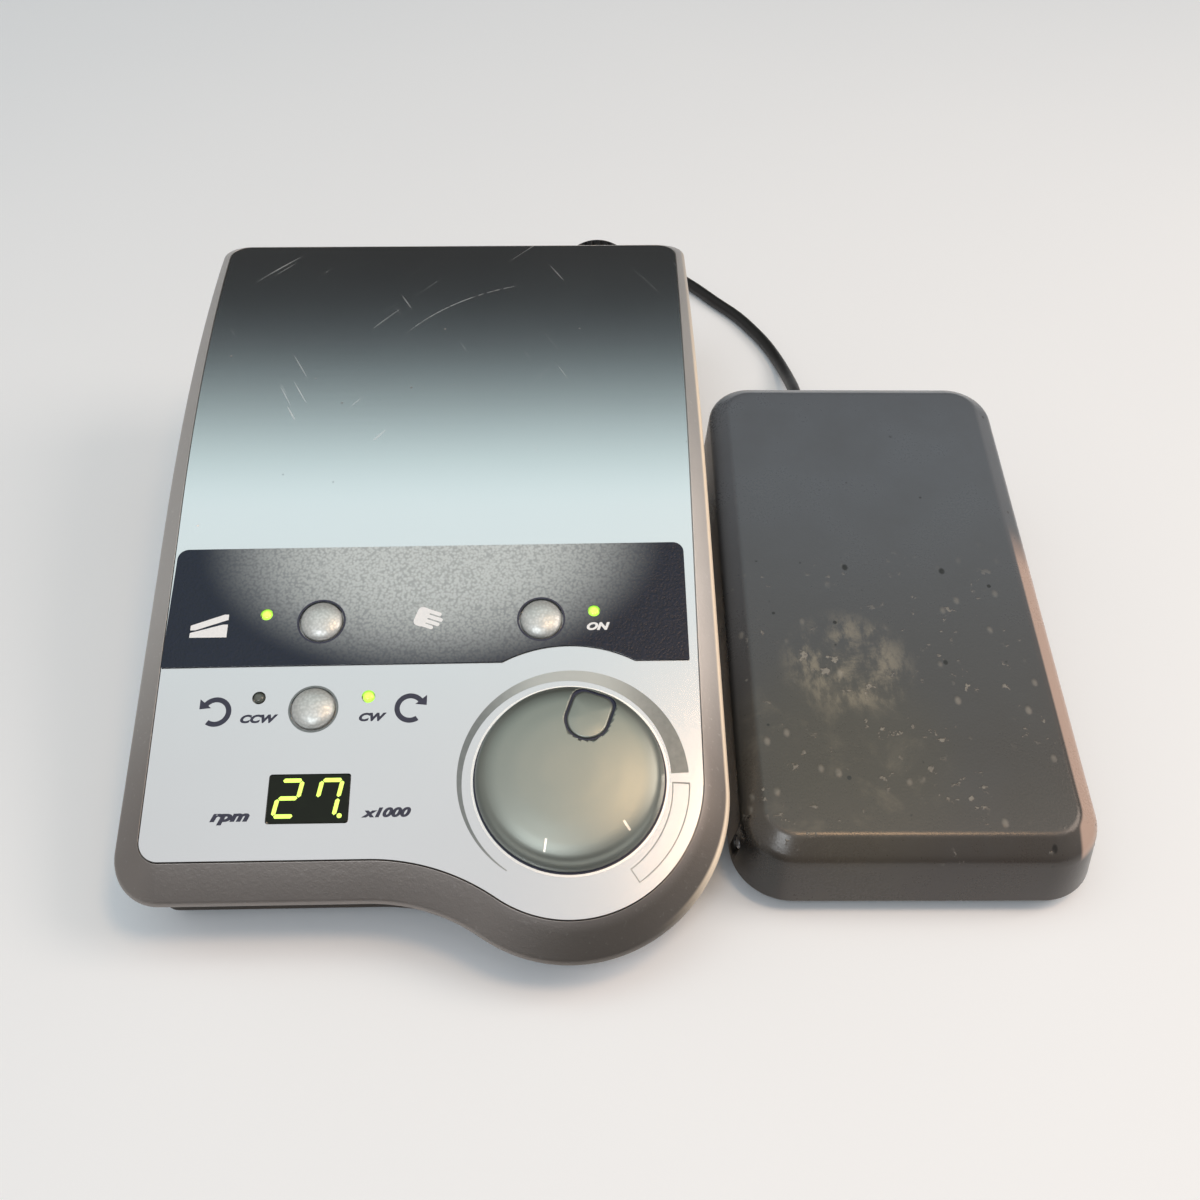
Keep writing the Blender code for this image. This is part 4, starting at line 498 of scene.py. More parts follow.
def carved(target, cutters):
    """Takes the cutters' solids out of the target and throws the cutters away."""
    for cutter in cutters:
        taken = target.modifiers.new("carve", "BOOLEAN")
        taken.operation = "DIFFERENCE"
        taken.solver = "EXACT"
        taken.object = cutter
        graph = bpy.context.evaluated_depsgraph_get()
        fresh = bpy.data.meshes.new_from_object(target.evaluated_get(graph))
        target.modifiers.clear()
        target.data = fresh
        bpy.data.objects.remove(cutter)


def slab(outline, low, high, frame_of):
    """A bare prism between two heights of a frame, as a tool to carve with."""
    count = len(outline)
    points = np.vstack([frame_of(lifted(outline, low)), frame_of(lifted(outline, high))])
    sides = grid_faces(2, count)
    mesh = bpy.data.meshes.new("tool")
    mesh.from_pydata(points.tolist(), [], [*sides, list(range(count))[::-1], list(range(count, 2 * count))])
    work = bmesh.new()
    work.from_mesh(mesh)
    bmesh.ops.recalc_face_normals(work, faces=work.faces)
    work.to_mesh(mesh)
    work.free()
    return placed("tool", mesh)


def round_rect(width, depth, corner, centre=(0, 0), count=6):
    """A rectangle with rounded corners, counter-clockwise from its right side."""
    x, y = width / 2 - corner, depth / 2 - corner
    turns = zip(((x, y), (-x, y), (-x, -y), (x, -y)), (0, 90, 180, 270))
    return np.vstack([bow(np.add(centre, c), corner, start, start + 90, count) for c, start in turns])


def in_box(points):
    """From the box's own frame to the shared frame."""
    return points + SHIFT


VENT_DEPTHS = (0.0285, 0.0361, 0.0437, 0.0513, 0.0589, 0.0665)
VENT_X = 0.031
VENT_SIZE = (0.036, 0.003, 0.0014)
vents = [round_rect(*VENT_SIZE, (VENT_X, depth)) for depth in VENT_DEPTHS]
carved(tray, [slab(vent, TRAY_LOW - 0.002, TRAY_LOW + 0.004, in_box) for vent in vents])

foot_fixed = {"Roughness": 0.8, "Specular IOR Level": 0.25}
foot_relief = ((2200.0, 2.0), 0.0001, 0.5)
foot_rubber = grained("foot_rubber", foot_fixed, (300.0, 6.0), (22, 22, 22), (52, 50, 47), None, foot_relief)


def spun(profile, sides, radii=None, steps=4):
    """(r cos a, r sin a, h) for every (r, h) of the profile, its corners eased by the radii."""
    profile = np.asarray(profile, float)
    if radii is not None:
        profile = eased(profile, radii, steps)
    a = np.linspace(0, TURN, sides, endpoint=False)
    r, h = profile[:, :1], profile[:, 1:]
    return np.stack([r * np.cos(a), r * np.sin(a), h + 0 * a], axis=-1)


foot_profile = [(0, 0), (0.00575, 0), (0.0065, 0.0008), (0.0062, 0.0027)]
foot_profile += [(0.0019, 0.0027), (0.0019, 0.0052), (0, 0.0052)]
FEET = {
    "foot_front_left": (-0.058, 0.016),
    "foot_front_right": (0.058, 0.016),
    "foot_rear_left": (-0.058, 0.192),
    "foot_rear_right": (0.058, 0.192),
}
for name, spot in FEET.items():
    grid = spun(foot_profile, 32, [0.0005, 0.0004, 0.0002, 0, 0]) + in_box(np.array([*spot, 0]))
    soft_name = name.replace("foot", "soft_foot")
    shell_piece(soft_name, grid, foot_rubber, BOX, stands_for=(name,), slot="rubber_black")


# The housing: a wedge-shaped shell of warm grey ABS, moulded with a fine texture. Its rim stands out
# over the walls and slopes up in a broad bevel to the edge of the panel.
RIM_UNDERCUT = 0.0035
RIM_ROUND = 0.0012
ARC_RADIUS = (RIM_REAR - FLAT_DEPTH) / (math.sin(SLOPE) - math.sin(math.radians(1.0)))
PANEL_FRONT = 0.028


def crest(y):
    """Height of the panel: tan(slope) * y as far as the flat part goes, then an arc that levels out."""
    angle = np.arcsin(np.clip(math.sin(SLOPE) - np.maximum(y - FLAT_DEPTH, 0) / ARC_RADIUS, -1, 1))
    arched = ARC_RADIUS * (np.cos(angle) - math.cos(SLOPE))
    return PANEL_FRONT + np.minimum(y, FLAT_DEPTH) * math.tan(SLOPE) + arched


def on_crest(outline, drop=0.0):
    """Each point at the panel's height, less the drop."""
    return lifted(outline, crest(outline[:, 1]) - drop)


def under_crest(outline, drop):
    """Each point under the panel's height, by 5.5 mm in front and 2.8 mm at the rear, and the drop."""
    t = np.clip(outline[:, 1] / SIDE_REAR, 0, 1)
    return lifted(outline, crest(outline[:, 1]) - 0.0055 + 0.0027 * t - drop)


def panel_outline(inset=0.0):
    """The inner edge of the bevel, 7.4 mm in from the rim at the front and 3.4 mm at the rear."""
    wide = box_outline(0.0074 + inset, 0.0034 + inset)
    narrow = box_outline(0.0034 + inset, 0.0034 + inset)
    t = np.clip(wide[:, 1:] / SIDE_REAR, 0, 1)
    return wide + (narrow - wide) * t


def distance(x, y, centre):
    """sqrt((x - cx)^2 + (y - cy)^2)"""
    return ((x - centre[0]) ** 2 + (y - centre[1]) ** 2) ** 0.5


SIDE_SLANT = 0.0066
shell_grey = Finish("shell_grey", {"Specular IOR Level": 0.5})
shell_spot = shell_grey.spot
shell_x, shell_y, _ = shell_grey.measured_from(SHIFT).axes()
shell_cloud = shell_spot.noise(22.0, 5.0, 0.6)
shell_speck = shell_spot.noise(900.0, 2.0, 0.5)
# The housing's colour is painted darker towards its front, where the bevel faces away from the light: painted
# shade. The light specks are thinned there too.
painted_front_shade = 1 - shell_y.between(0.0, 0.075)
shell_tone = painted_front_shade.blend(shell_cloud.blend(rgb(186, 184, 182), rgb(202, 200, 198)), rgb(140, 135, 132))
bulge_off = distance(shell_x, shell_y, (KNOB_X, KNOB_Y))
# The front of the rim and bevel under the dial's bulge is painted darker: painted shade.
shade_under_dial = bulge_off.between(0.034, 0.037) * shell_y.between(0.050, 0.000) * shell_x.between(0.012, 0.040)
shell_tone = (shade_under_dial * 0.6).blend(shell_tone, rgb(88, 84, 78))
# A thin cream line along the right rim beside the dial, less metallic and fading towards the rear: a painted
# highlight of warm light on the rim's edge.
beside_dial = shell_y.between(KNOB_Y - 0.001, KNOB_Y + 0.001)
straight_off = shell_x - (KNOB_X + BULGE) + (shell_y - KNOB_Y) * SIDE_SLANT
rim_off = straight_off * beside_dial + (bulge_off - BULGE) * (1 - beside_dial)
painted_rim_highlight = rim_off.between(-0.0015, -0.0008) * shell_x.between(0.050, 0.062) * shell_y.between(-0.018, 0.004)
painted_rim_highlight = painted_rim_highlight * (1 - shell_y.between(0.12, 0.20) * 0.7)
shell_tone = painted_rim_highlight.blend(shell_tone, rgb(255, 238, 214))
speckle = shell_speck.between(0.62, 0.8) * 0.35 * (1 - painted_front_shade * 0.7)
shell_grey.feed("Base Color", speckle.blend(shell_tone, rgb(222, 220, 217)))
shell_grey.feed("Metallic", 0.85 - painted_rim_highlight * 0.55)
shell_grey.feed("Roughness", shell_cloud * 0.12 + 0.33)
shell_grey.raise_by(shell_speck + shell_spot.noise(2600.0, 1.0) * 0.6, 0.00005, 0.7)

RECESS = 0.0011
INSIDE = RECESS + 0.0024
inner_wall = box_outline(BODY_INSET + 0.0024, REAR_INSET + 0.0024)
body_wall = box_outline(BODY_INSET, REAR_INSET)
rings = [on_crest(drawn_in(inner_wall, share), INSIDE) for share in (1e-4, 0.2, 0.4, 0.6, 0.8, 1)]
rings += [
    lifted(inner_wall, SEAM),
    lifted(body_wall, SEAM),
    under_crest(body_wall, RIM_UNDERCUT),
    under_crest(box_outline(RIM_ROUND / 3, RIM_ROUND / 3), RIM_ROUND),
    under_crest(box_outline(0, 0), RIM_ROUND / 3),
    under_crest(box_outline(RIM_ROUND / 4, RIM_ROUND / 4), -RIM_ROUND / 2),
    on_crest(panel_outline()),
]
rings += [on_crest(drawn_in(panel_outline(), share), RECESS) for share in (1, 0.8, 0.6, 0.4, 0.2, 1e-4)]
radii = [0, 0, 0, 0, 0, 0, 0.0003, 0.0011, 0.0006, 0.0005, 0.0007, 0.0003, 0, 0, 0, 0, 0]
housing = shell_piece(
    "housing",
    eased([ring + SHIFT for ring in rings], radii, 5),
    shell_grey,
    BOX,
    stands_for=("upper_housing",),
    slot="shell_grey",
    crease=50,
)


# The panel: a thin aluminium sheet with a satin silver lacquer, punched for the controls, bent to the
# housing's arch and glued into its recess.
def in_panel(points):
    """From across, up the slope and out of it, to the shared frame."""
    x, s, n = np.moveaxis(np.asarray(points, float), -1, 0)
    y = s * math.cos(SLOPE) - n * math.sin(SLOPE)
    z = PANEL_FRONT + s * math.sin(SLOPE) + n * math.cos(SLOPE)
    return np.stack([x, y, z], axis=-1) + SHIFT


def flat_sheet(loops, across=()):
    """Triangles between the first loop and the others, with the extra lines as edges."""
    points, edges, start = [], [], 0
    for loop in loops:
        count = len(loop)
        points.append(np.asarray(loop))
        edges += [(start + i, start + (i + 1) % count) for i in range(count)]
        start += count
    for line in across:
        points.append(np.asarray(line))
        edges.append((start, start + 1))
        start += 2
    found = delaunay_2d_cdt([Vector(p) for p in np.vstack(points).tolist()], edges, [], 0, 1e-7)
    flat = np.array([tuple(p) for p in found[0]])
    faces = np.array(found[2])
    centre = flat[faces].mean(axis=1)
    inside = np.zeros(len(faces), bool)
    for loop in loops:
        a, b = np.asarray(loop), np.roll(loop, -1, axis=0)
        beside = (a[:, 1] > centre[:, 1:]) != (b[:, 1] > centre[:, 1:])
        run = b[:, 1] - a[:, 1]
        run = np.where(run == 0, 1e-12, run)
        crossing = a[:, 0] + (centre[:, 1:] - a[:, 1]) * (b[:, 0] - a[:, 0]) / run
        inside ^= (np.sum(beside & (centre[:, :1] < crossing), axis=1) % 2).astype(bool)
    return flat, faces[inside]


def plate(flat_top, flat_bottom, faces):
    """Points and triangles of a thin plate: its top, its underside turned over, and its cut edges."""
    ends = np.concatenate([faces[:, [0, 1]], faces[:, [1, 2]], faces[:, [2, 0]]])
    _, first, times = np.unique(np.sort(ends, axis=1), axis=0, return_index=True, return_counts=True)
    edge = ends[first[times == 1]]
    under = len(flat_top)
    sides = np.stack([edge[:, 1], edge[:, 0], edge[:, 0] + under, edge[:, 1] + under], axis=1)
    skins = [*faces.tolist(), *(faces[:, ::-1] + under).tolist(), *sides.tolist()]
    return np.vstack([flat_top, flat_bottom]), skins


def facing_up(made):
    """Turns a sheet so that all of its faces look up."""
    work = bmesh.new()
    work.from_mesh(made.data)
    bmesh.ops.reverse_faces(work, faces=[face for face in work.faces if face.normal.z < 0])
    work.to_mesh(made.data)
    work.free()
    return made


BUTTONS = {
    "button_hand_foot": (-0.0295, 0.0647),
    "button_motor": (0.0304, 0.0647),
    "button_direction": (-0.0297, 0.0395),
}
LEDS = {
    "led_hand_foot": (-0.0446, 0.067),
    "led_motor": (0.0449, 0.067),
    "led_reverse": (-0.0443, 0.0428),
    "led_forward": (-0.0154, 0.0428),
}
BUTTON_RADIUS = 0.0057
LED_RADIUS = 0.0015
KNOB = (KNOB_X, 0.0195)
WINDOW = (-0.0289, 0.0151)
cosine = math.cos(SLOPE)
SHAFT_HOLE = 0.0045
WINDOW_HOLE = (0.021, 0.0131, 0.0008)
punched = [circle(spot, BUTTON_RADIUS + 0.0004, 40) for spot in BUTTONS.values()]
punched += [circle(spot, LED_RADIUS + 0.0003, 24) for spot in LEDS.values()]
punched += [circle(KNOB, SHAFT_HOLE, 32), round_rect(*WINDOW_HOLE, WINDOW)]
from_above = [hole * (1, cosine) for hole in punched]
bends = [[(-0.1, y), (0.1, y)] for y in np.linspace(FLAT_DEPTH, 0.2065, 48)]
flat, faces = flat_sheet([panel_outline(0.0003), *from_above], bends)
silver = Finish("silver_lacquer", {"Specular IOR Level": 0.5})
silver_spot = silver.spot
silver_cloud = silver_spot.noise(9.0, 4.0, 0.6)
silver_flake = silver_spot.noise(3500.0, 1.0, 0.5)
silver_x, silver_y, _ = silver.measured_from(SHIFT).axes()


def scratched(turn, where, fineness):
    """Long thin hairs where noise, stretched along one direction, comes near its peak."""
    laid = silver_spot.shift(turn=(0, 0, turn)).shift(scale=(1, 0.035, 0.035))
    return laid.noise(fineness, 1.0).between(0.70, 0.76) * silver_spot.noise(where, 2.0).between(0.52, 0.60)


def bare_spot(x, y, size):
    """1 inside a chip of ragged outline and 0 outside it."""
    off = distance(silver_x, silver_y, (x, y)) + silver_spot.noise(1400.0) * size
    return 1 - off.between(size * 0.9, size * 1.2)


HAIR_CENTRE = (0.0400, 0.1200)
HAIR_REACH = 0.0665
arc_off = distance(silver_x, silver_y, HAIR_CENTRE) - HAIR_REACH
arc_hair = (1 - (arc_off * arc_off).between(4e-9, 4e-8)) * silver_spot.noise(260.0).between(0.35, 0.55)
arc_hair = arc_hair * silver_x.between(-0.014, -0.006) * (1 - silver_x.between(0.016, 0.024))
on_arch = silver_y.between(0.098, 0.112)
hairs = scratched(0.7, 30.0, 520.0) + scratched(-0.5, 24.0, 640.0)
hairs = hairs * on_arch + arc_hair * silver_y.between(0.150, 0.160)
grit_marks = 1 - silver_spot.cells(150.0, "F1").between(0.035, 0.07)
grit_marks = grit_marks * silver_spot.noise(42.0, 2.0).between(0.50, 0.58) * on_arch
chips = bare_spot(-0.0757, 0.1488, 0.0022) + bare_spot(-0.0670, 0.0905, 0.0006)
silver_tone = silver_cloud.blend(rgb(205, 208, 211), rgb(214, 217, 219))
silver_tone = (hairs * 0.5).blend(silver_tone, rgb(244, 246, 247))
silver_tone = (grit_marks * 0.75).blend(silver_tone, rgb(96, 98, 98))
silver.feed("Base Color", chips.blend(silver_tone, rgb(240, 240, 238)))
silver.feed("Metallic", 0.97 - hairs * 0.25 - chips * 0.9 - grit_marks * 0.6)
silver.feed("Roughness", silver_flake * 0.06 + silver_cloud * 0.05 + hairs * 0.2 + chips * 0.3 + 0.15)
silver.raise_by(silver_flake - hairs * 0.6 - grit_marks, 0.00002, 0.35)
SHEET = 0.0008
panel_points, panel_faces = plate(on_crest(flat) + SHIFT, on_crest(flat, SHEET) + SHIFT, faces)
mesh_piece("panel", panel_points, panel_faces, silver, BOX, stands_for=("top_panel",), slot="panel_silver")


# The band across the panel: a polyester label, screen-printed dark blue from behind, with a pebbled
# face. It is punched for two buttons and two lamps, and scooped out where the dial's scale runs.
band_corner = bow((0.0675, 0.0852), 0.003, 0, 90, 8)
far_corner = bow((-0.0682, 0.0844), 0.003, 90, 180, 8)
SCOOP_LOW = 0.0522
SCOOP_RADIUS = 0.0373
half_scoop = math.degrees(math.asin((SCOOP_LOW - KNOB[1]) / SCOOP_RADIUS))
scoop = bow(KNOB, SCOOP_RADIUS, half_scoop, 180 - half_scoop, 48)
band_outline = np.vstack([band_corner, far_corner, [(-0.0713, 0.0517)], scoop[::-1], [(0.0705, SCOOP_LOW)]])
ON_BAND = ("hand_foot", "motor")
band_holes = [circle(BUTTONS["button_" + name], BUTTON_RADIUS + 0.0005, 40) for name in ON_BAND]
band_holes += [circle(LEDS["led_" + name], LED_RADIUS + 0.0002, 24) for name in ON_BAND]
flat, faces = flat_sheet([band_outline, *band_holes])
band_film = Finish("band_film", {"Specular IOR Level": 0.35})
pebbles = band_film.spot.cells(1500.0)
fine_pebbles = band_film.spot.shift((0.3, 0.1, 0.2)).cells(2900.0)
band_x, band_y, _ = band_film.measured_from(SHIFT).axes()
# A pale oval in the middle of the band, strongest on the pebbles' peaks and rougher there: painted glare of
# the lamps.
glare_patch = 1 - ((band_x * 15.0) ** 2 + ((band_y - 0.0850) * 24.5) ** 2).between(0.05, 1.0)
painted_glare = glare_patch * ((1 - pebbles).between(0.30, 0.75) * 0.30 + 0.62)
band_ink = band_x.between(-0.05, 0.05).blend(rgb(20, 30, 46), rgb(7, 15, 34))
band_ink = (pebbles.between(0.1, 0.8) * 0.4).blend(band_ink, rgb(24, 36, 62))
band_film.feed("Base Color", painted_glare.blend(band_ink, rgb(202, 213, 216)))
band_film.feed("Roughness", pebbles * 0.12 + painted_glare * 0.25 + 0.30)
band_film.raise_by(pebbles + fine_pebbles * 0.5, 0.00016, 0.55)
BAND_TOP = 0.0005
BAND_BACK = 0.0003
band_points, band_faces = plate(in_panel(lifted(flat, BAND_TOP)), in_panel(lifted(flat, BAND_BACK)), faces)
mesh_piece("band", band_points, band_faces, band_film, BOX, stands_for=("label_plate",), slot="label_navy")


# The printing: dark ink on the lacquer and white ink on the band, in letters and signs a few
# hundredths of a millimetre thick, with a tapered scale round the dial.
ink_blue = grained("ink_blue", {"Roughness": 0.4}, (1200.0, 3.0), (24, 26, 48), (52, 55, 78))
ink_white = grained("ink_white", {"Roughness": 0.45}, (1500.0, 3.0), (222, 227, 232), (248, 250, 252))
# A near-white, partly metallic finish for the bright ring round the dial: painted highlight.
ring_highlight_fixed = {"Roughness": 0.30, "Metallic": 0.6}
painted_ring_highlight = grained("painted_ring_highlight", ring_highlight_fixed, (900.0,), (236, 238, 236), (252, 252, 250))
ink_grey = Finish("ink_grey", {"Roughness": 0.36, "Metallic": 0.8})
grey_x = ink_grey.measured_from(SHIFT).axes()[0]
# The grey ink is painted lighter over the dial's middle and darker to either side of it: painted shade.
off_dial = ((grey_x - KNOB_X) ** 2) ** 0.5
grey_tone = off_dial.between(0.006, 0.026).blend(rgb(170, 175, 174), rgb(104, 110, 111))
ink_grey.feed("Base Color", (ink_grey.spot.noise(700.0, 4.0) * 0.25).blend(grey_tone, rgb(186, 190, 190)))
INK_LIFT = 0.00003
BAND_LIFT = 0.00053


def printed(name, loops, ink, lift=INK_LIFT):
    """A flat sign between closed loops on the panel's slope; a loop inside another leaves a hole."""
    flat, faces = flat_sheet(loops)
    return facing_up(mesh_piece(name, in_panel(lifted(flat, lift)), faces, ink, BOX, slot="label_navy"))


def ring_sector(centre, inner, outer, start, end, count=40):
    """Between an inner and an outer radius, which may grow evenly from the start angle to the end."""
    sides = [bow(centre, np.linspace(*radii, count), start, end, count) for radii in (inner, outer)]
    return np.vstack([sides[0], sides[1][::-1]])


def word(name, text, at, height, ink, lift=INK_LIFT, stretch=1.25):
    """Slanted bold letters, centred on a place on the panel, as a flat mesh."""
    letters = bpy.data.curves.new(name, "FONT")
    letters.body = text
    letters.size = 1.0
    letters.shear = 0.30
    letters.offset = 0.055
    letters.align_x = "CENTER"
    letters.align_y = "CENTER"
    letters.resolution_u = 4
    holder = placed(name, letters)
    graph = bpy.context.evaluated_depsgraph_get()
    mesh = bpy.data.meshes.new_from_object(holder.evaluated_get(graph))
    bpy.data.objects.remove(holder)
    flat = np.empty(len(mesh.vertices) * 3)
    mesh.vertices.foreach_get("co", flat)
    flat = flat.reshape(-1, 3)[:, :2] * (height * 1.4 * stretch, height * 1.4) + at
    faces = [list(face.vertices) for face in mesh.polygons]
    work = bpy.data.meshes.new(name)
    work.from_pydata(in_panel(lifted(flat, lift)).tolist(), [], faces)
    work.materials.append(ink.material)
    made = placed(name, work)
    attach(made, BOX)
    return facing_up(made)


def turn_arrow(name, at, radius, start, end):
    """Three quarters of a ring with a triangular head at its end."""
    ring = ring_sector(at, (radius * 0.78, radius * 0.78), (radius * 1.18, radius * 1.18), start, end)
    tip_way = math.radians(end + math.copysign(90, end - start))
    out = radius * np.array([math.cos(math.radians(end)), math.sin(math.radians(end))])
    along = radius * np.array([math.cos(tip_way), math.sin(tip_way)])
    head = np.array([out * 0.62, along * 0.62 + out * 0.1, out * -0.5]) + out + at
    printed(name + "_ring", [ring], ink_blue)
    printed(name + "_head", [head], ink_blue, INK_LIFT * 1.5)


turn_arrow("arrow_left", (-0.0553, 0.0390), 0.0035, -125, 140)
turn_arrow("arrow_right", (-0.0042, 0.0394), 0.0035, 305, 40)
word("word_ccw", "CCW", (-0.0444, 0.0368), 0.0021, ink_blue)
word("word_cw", "CW", (-0.0146, 0.0369), 0.0021, ink_blue)
word("word_rpm", "rpm", (-0.0486, 0.0107), 0.0027, ink_blue, stretch=1.5)
word("word_thousand", "x1000", (-0.0089, 0.0111), 0.0023, ink_blue, stretch=1.4)
word("word_on", "ON", (0.0455, 0.0622), 0.0021, ink_white, BAND_LIFT)
printed("scale_growing", [ring_sector(KNOB, (0.0284, 0.0262), (0.0287, 0.0308), 236, 2, 90)], ink_grey)
# The dark ring just round the dial is painted shadow at the knob's foot; the bright ring outside it is a
# painted highlight of the lit edge round the knob.
for name, inner, outer, ink in (("shadow", 0.0240, 0.0250, ink_blue), ("bright", 0.0250, 0.0256, painted_ring_highlight)):
    printed(f"dial_{name}_ring", [circle(KNOB, outer, 128), circle(KNOB, inner, 128)], ink)
sector = ring_sector(KNOB, (0.0264, 0.0280), (0.0310, 0.0322), -3, -58)
sector_hole = ring_sector(KNOB, (0.0267, 0.0283), (0.0307, 0.0319), -3.8, -57.4)
printed("scale_frame", [sector, sector_hole], ink_grey)


def pedal_sign(at, size):
    """A foot pedal from the side: a wedge plate over a base bar."""
    plate = np.array([(-0.5, 0.02), (0.38, 0.34), (0.5, 0.34), (0.5, 0.18), (-0.36, -0.12), (-0.5, -0.12)])
    bar = np.array([(-0.5, -0.34), (0.5, -0.34), (0.5, 0.04), (0.36, 0.04), (-0.5, -0.2)])
    return [shape * size + at for shape in (plate, bar)]


def hand_sign(at, size):
    """A flat hand held level: four fingers side by side as slanted bars and a thumb below."""
    fingers = ((0.46, 0.30), (0.56, 0.14), (0.52, -0.02), (0.38, -0.17))
    shapes = [round_rect(reach, 0.12, 0.055, (reach / 2 - 0.18, rise), 4) for reach, rise in fingers]
    shapes.append(round_rect(0.36, 0.62, 0.14, (-0.24, 0.06), 6))
    return [shape @ np.array([[0.94, -0.34], [0.34, 0.94]]) * size + at for shape in shapes]


for i, loop in enumerate(pedal_sign(np.array([-0.0598, 0.0637]), 0.0100)):
    printed(f"pedal_sign_{i}", [loop], ink_white, BAND_LIFT)
for i, loop in enumerate(hand_sign(np.array([-0.0003, 0.0645]), 0.0094)):
    printed(f"hand_sign_{i}", [loop], ink_white, BAND_LIFT + i * 0.000004)


# The dial: an injection-moulded knob with a brushed, metallised face and a tongue let in as a pointer.
# It pushes onto the potentiometer's shaft.
KNOB_HEIGHT = 0.0075
KNOB_REST = math.radians(-19.0)
knob_way = (math.cos(KNOB_REST), math.sin(KNOB_REST))
knob_turn = np.array([knob_way, (-knob_way[1], knob_way[0])])


def in_dial(points):
    """From across, along and out of the dial, with its pointer up, to the shared frame at rest."""
    points = np.asarray(points, float)
    flat = points[..., :2] @ knob_turn + KNOB
    return in_panel(np.concatenate([flat, points[..., 2:]], axis=-1))


def tongue(grow):
    """A tongue from just inside the dial's edge, square outside and round inside."""
    half, outer, inner = 0.0054 + grow, 0.0222 + grow, 0.0089 - grow
    corner = 0.0030
    return np.vstack(
        [
            bow((half - corner, outer - corner), corner, 0, 90, 6),
            bow((corner - half, outer - corner), corner, 90, 180, 6),
            bow((0, inner + half), half, 180, 360, 24),
        ]
    )


knob_metal = Finish("knob_metal", {"Metallic": 0.9, "Specular IOR Level": 0.5})
hub = in_panel([*KNOB, 0.0])
across, behind, above = knob_metal.measured_from(hub).axes()
upward = behind * math.cos(SLOPE) + above * math.sin(SLOPE)
from_hub = (across * across + upward * upward) ** 0.5
brushing = knob_metal.node("ShaderNodeCombineXYZ", {}, (from_hub, 0.0, 0.0)).noise(5200.0, 2.0, 0.7)
knob_cloud = knob_metal.spot.noise(60.0, 4.0, 0.6)


def nick(x, y, lean, long):
    """1 on a short straight scratch in the dial's face and 0 beside it."""
    along = (across - x) * math.sin(lean) + (upward - y) * math.cos(lean)
    aside = (across - x) * math.cos(lean) - (upward - y) * math.sin(lean)
    return (1 - (aside * aside).between(2e-8, 1.4e-7)) * (1 - (along * along).between(long**2 * 0.5, long**2))


nicks_in_face = nick(-0.0062, -0.0190, 0.15, 0.0018) + nick(0.0141, -0.0143, -0.60, 0.0016)
knob_tone = knob_cloud.blend(rgb(140, 147, 141), rgb(152, 156, 149))
knob_metal.feed("Base Color", nicks_in_face.blend(knob_tone, rgb(246, 240, 228)))
knob_metal.feed("Roughness", brushing * 0.10 + knob_cloud * 0.05 + 0.34)
knob_metal.raise_by(brushing - nicks_in_face * 2.0, 0.00003, 0.5)
knob_side = [(0, 0.0004), (0.0223, 0.0004), (0.0245, 0.0004)]
knob_dome = [(0.0243, 0.0028), (0.0230, 0.0055), (0.0200, 0.0066), (0.0140, 0.0074), (0.0070, 0.0078)]
knob_dome.append((0, 0.0079))
knob_radii = [0, 0.0003, 0.0014, 0.0016, 0.002, 0.002, 0.002]
dial = shell_piece(
    "dial",
    in_dial(spun(knob_side + knob_dome, 192, knob_radii, 6)),
    knob_metal,
    "knob",
    stands_for=("speed_knob", "knob_indicator"),
    slot="knob_silver",
    crease=50,
)
carved(dial, [slab(tongue(0.0006), KNOB_HEIGHT - 0.0036, KNOB_HEIGHT + 0.004, in_dial)])
dome_radii, dome_heights = zip(*knob_dome[::-1])


def on_dome(outline, drop):
    """The outline at the height of the dial's face, which falls with the distance from its hub."""
    return lifted(outline, np.interp(np.linalg.norm(outline, axis=1), dome_radii, dome_heights) - drop)


POINTER_MIDDLE = (0.0, 0.0160)
POINTER_LOW = 0.0042
pointer_edge = tongue(-0.0001)
pointer_inner = tongue(-0.0005)
pointer_rings = [
    lifted(drawn_in(pointer_edge, 1e-4, POINTER_MIDDLE), POINTER_LOW),
    lifted(pointer_edge, POINTER_LOW),
    on_dome(pointer_edge, 0.0004),
    on_dome(pointer_inner, 0.0001),
    on_dome(drawn_in(pointer_inner, 0.5, POINTER_MIDDLE), 0.0),
    on_dome(drawn_in(pointer_inner, 1e-4, POINTER_MIDDLE), 0.0),
]
pointer_grid = eased([in_dial(ring) for ring in pointer_rings], [0, 0.0002, 0.0002, 0], 3)
shell_piece("pointer", pointer_grid, knob_metal, "knob", slot="knob_silver", crease=60)
# A dark sheet on the floor of the pointer's slot, seen as a dark line round the pointer: painted shade in the
# gap.
bed_flat, bed_faces = flat_sheet([tongue(0.0006)])
bed_points = in_dial(on_dome(bed_flat, 0.0007))
facing_up(mesh_piece("pointer_gap_shade", bed_points, bed_faces, ink_blue, "knob", slot="label_navy"))


# The buttons: three domed caps with a metallised, slightly pebbled face, each on a small tact switch.
button_metal = Finish("button_metal", {"Metallic": 0.55, "Specular IOR Level": 0.5})
button_pebbles = button_metal.spot.cells(1500.0)
button_tone = button_pebbles.between(0.1, 0.7).blend(rgb(212, 216, 215), rgb(190, 195, 194))
button_metal.feed("Base Color", button_tone)
button_metal.feed("Roughness", button_pebbles * 0.12 + 0.36)
button_metal.raise_by(button_pebbles, 0.00010, 0.4)
button_profile = [(0, -0.0075), (0.0020, -0.0075), (0.0020, -0.0046), (0.0074, -0.0046), (0.0074, -0.0036)]
button_profile += [(BUTTON_RADIUS, -0.0036), (BUTTON_RADIUS, 0.0005), (0.0051, 0.0012), (0.0036, 0.0018)]
button_profile += [(0.0018, 0.0021), (0, 0.0022)]
button_cap = spun(button_profile, 64, [0, 0, 0.0002, 0.0002, 0.0002, 0.0004, 0.0008, 0.0012, 0.0012], 5)
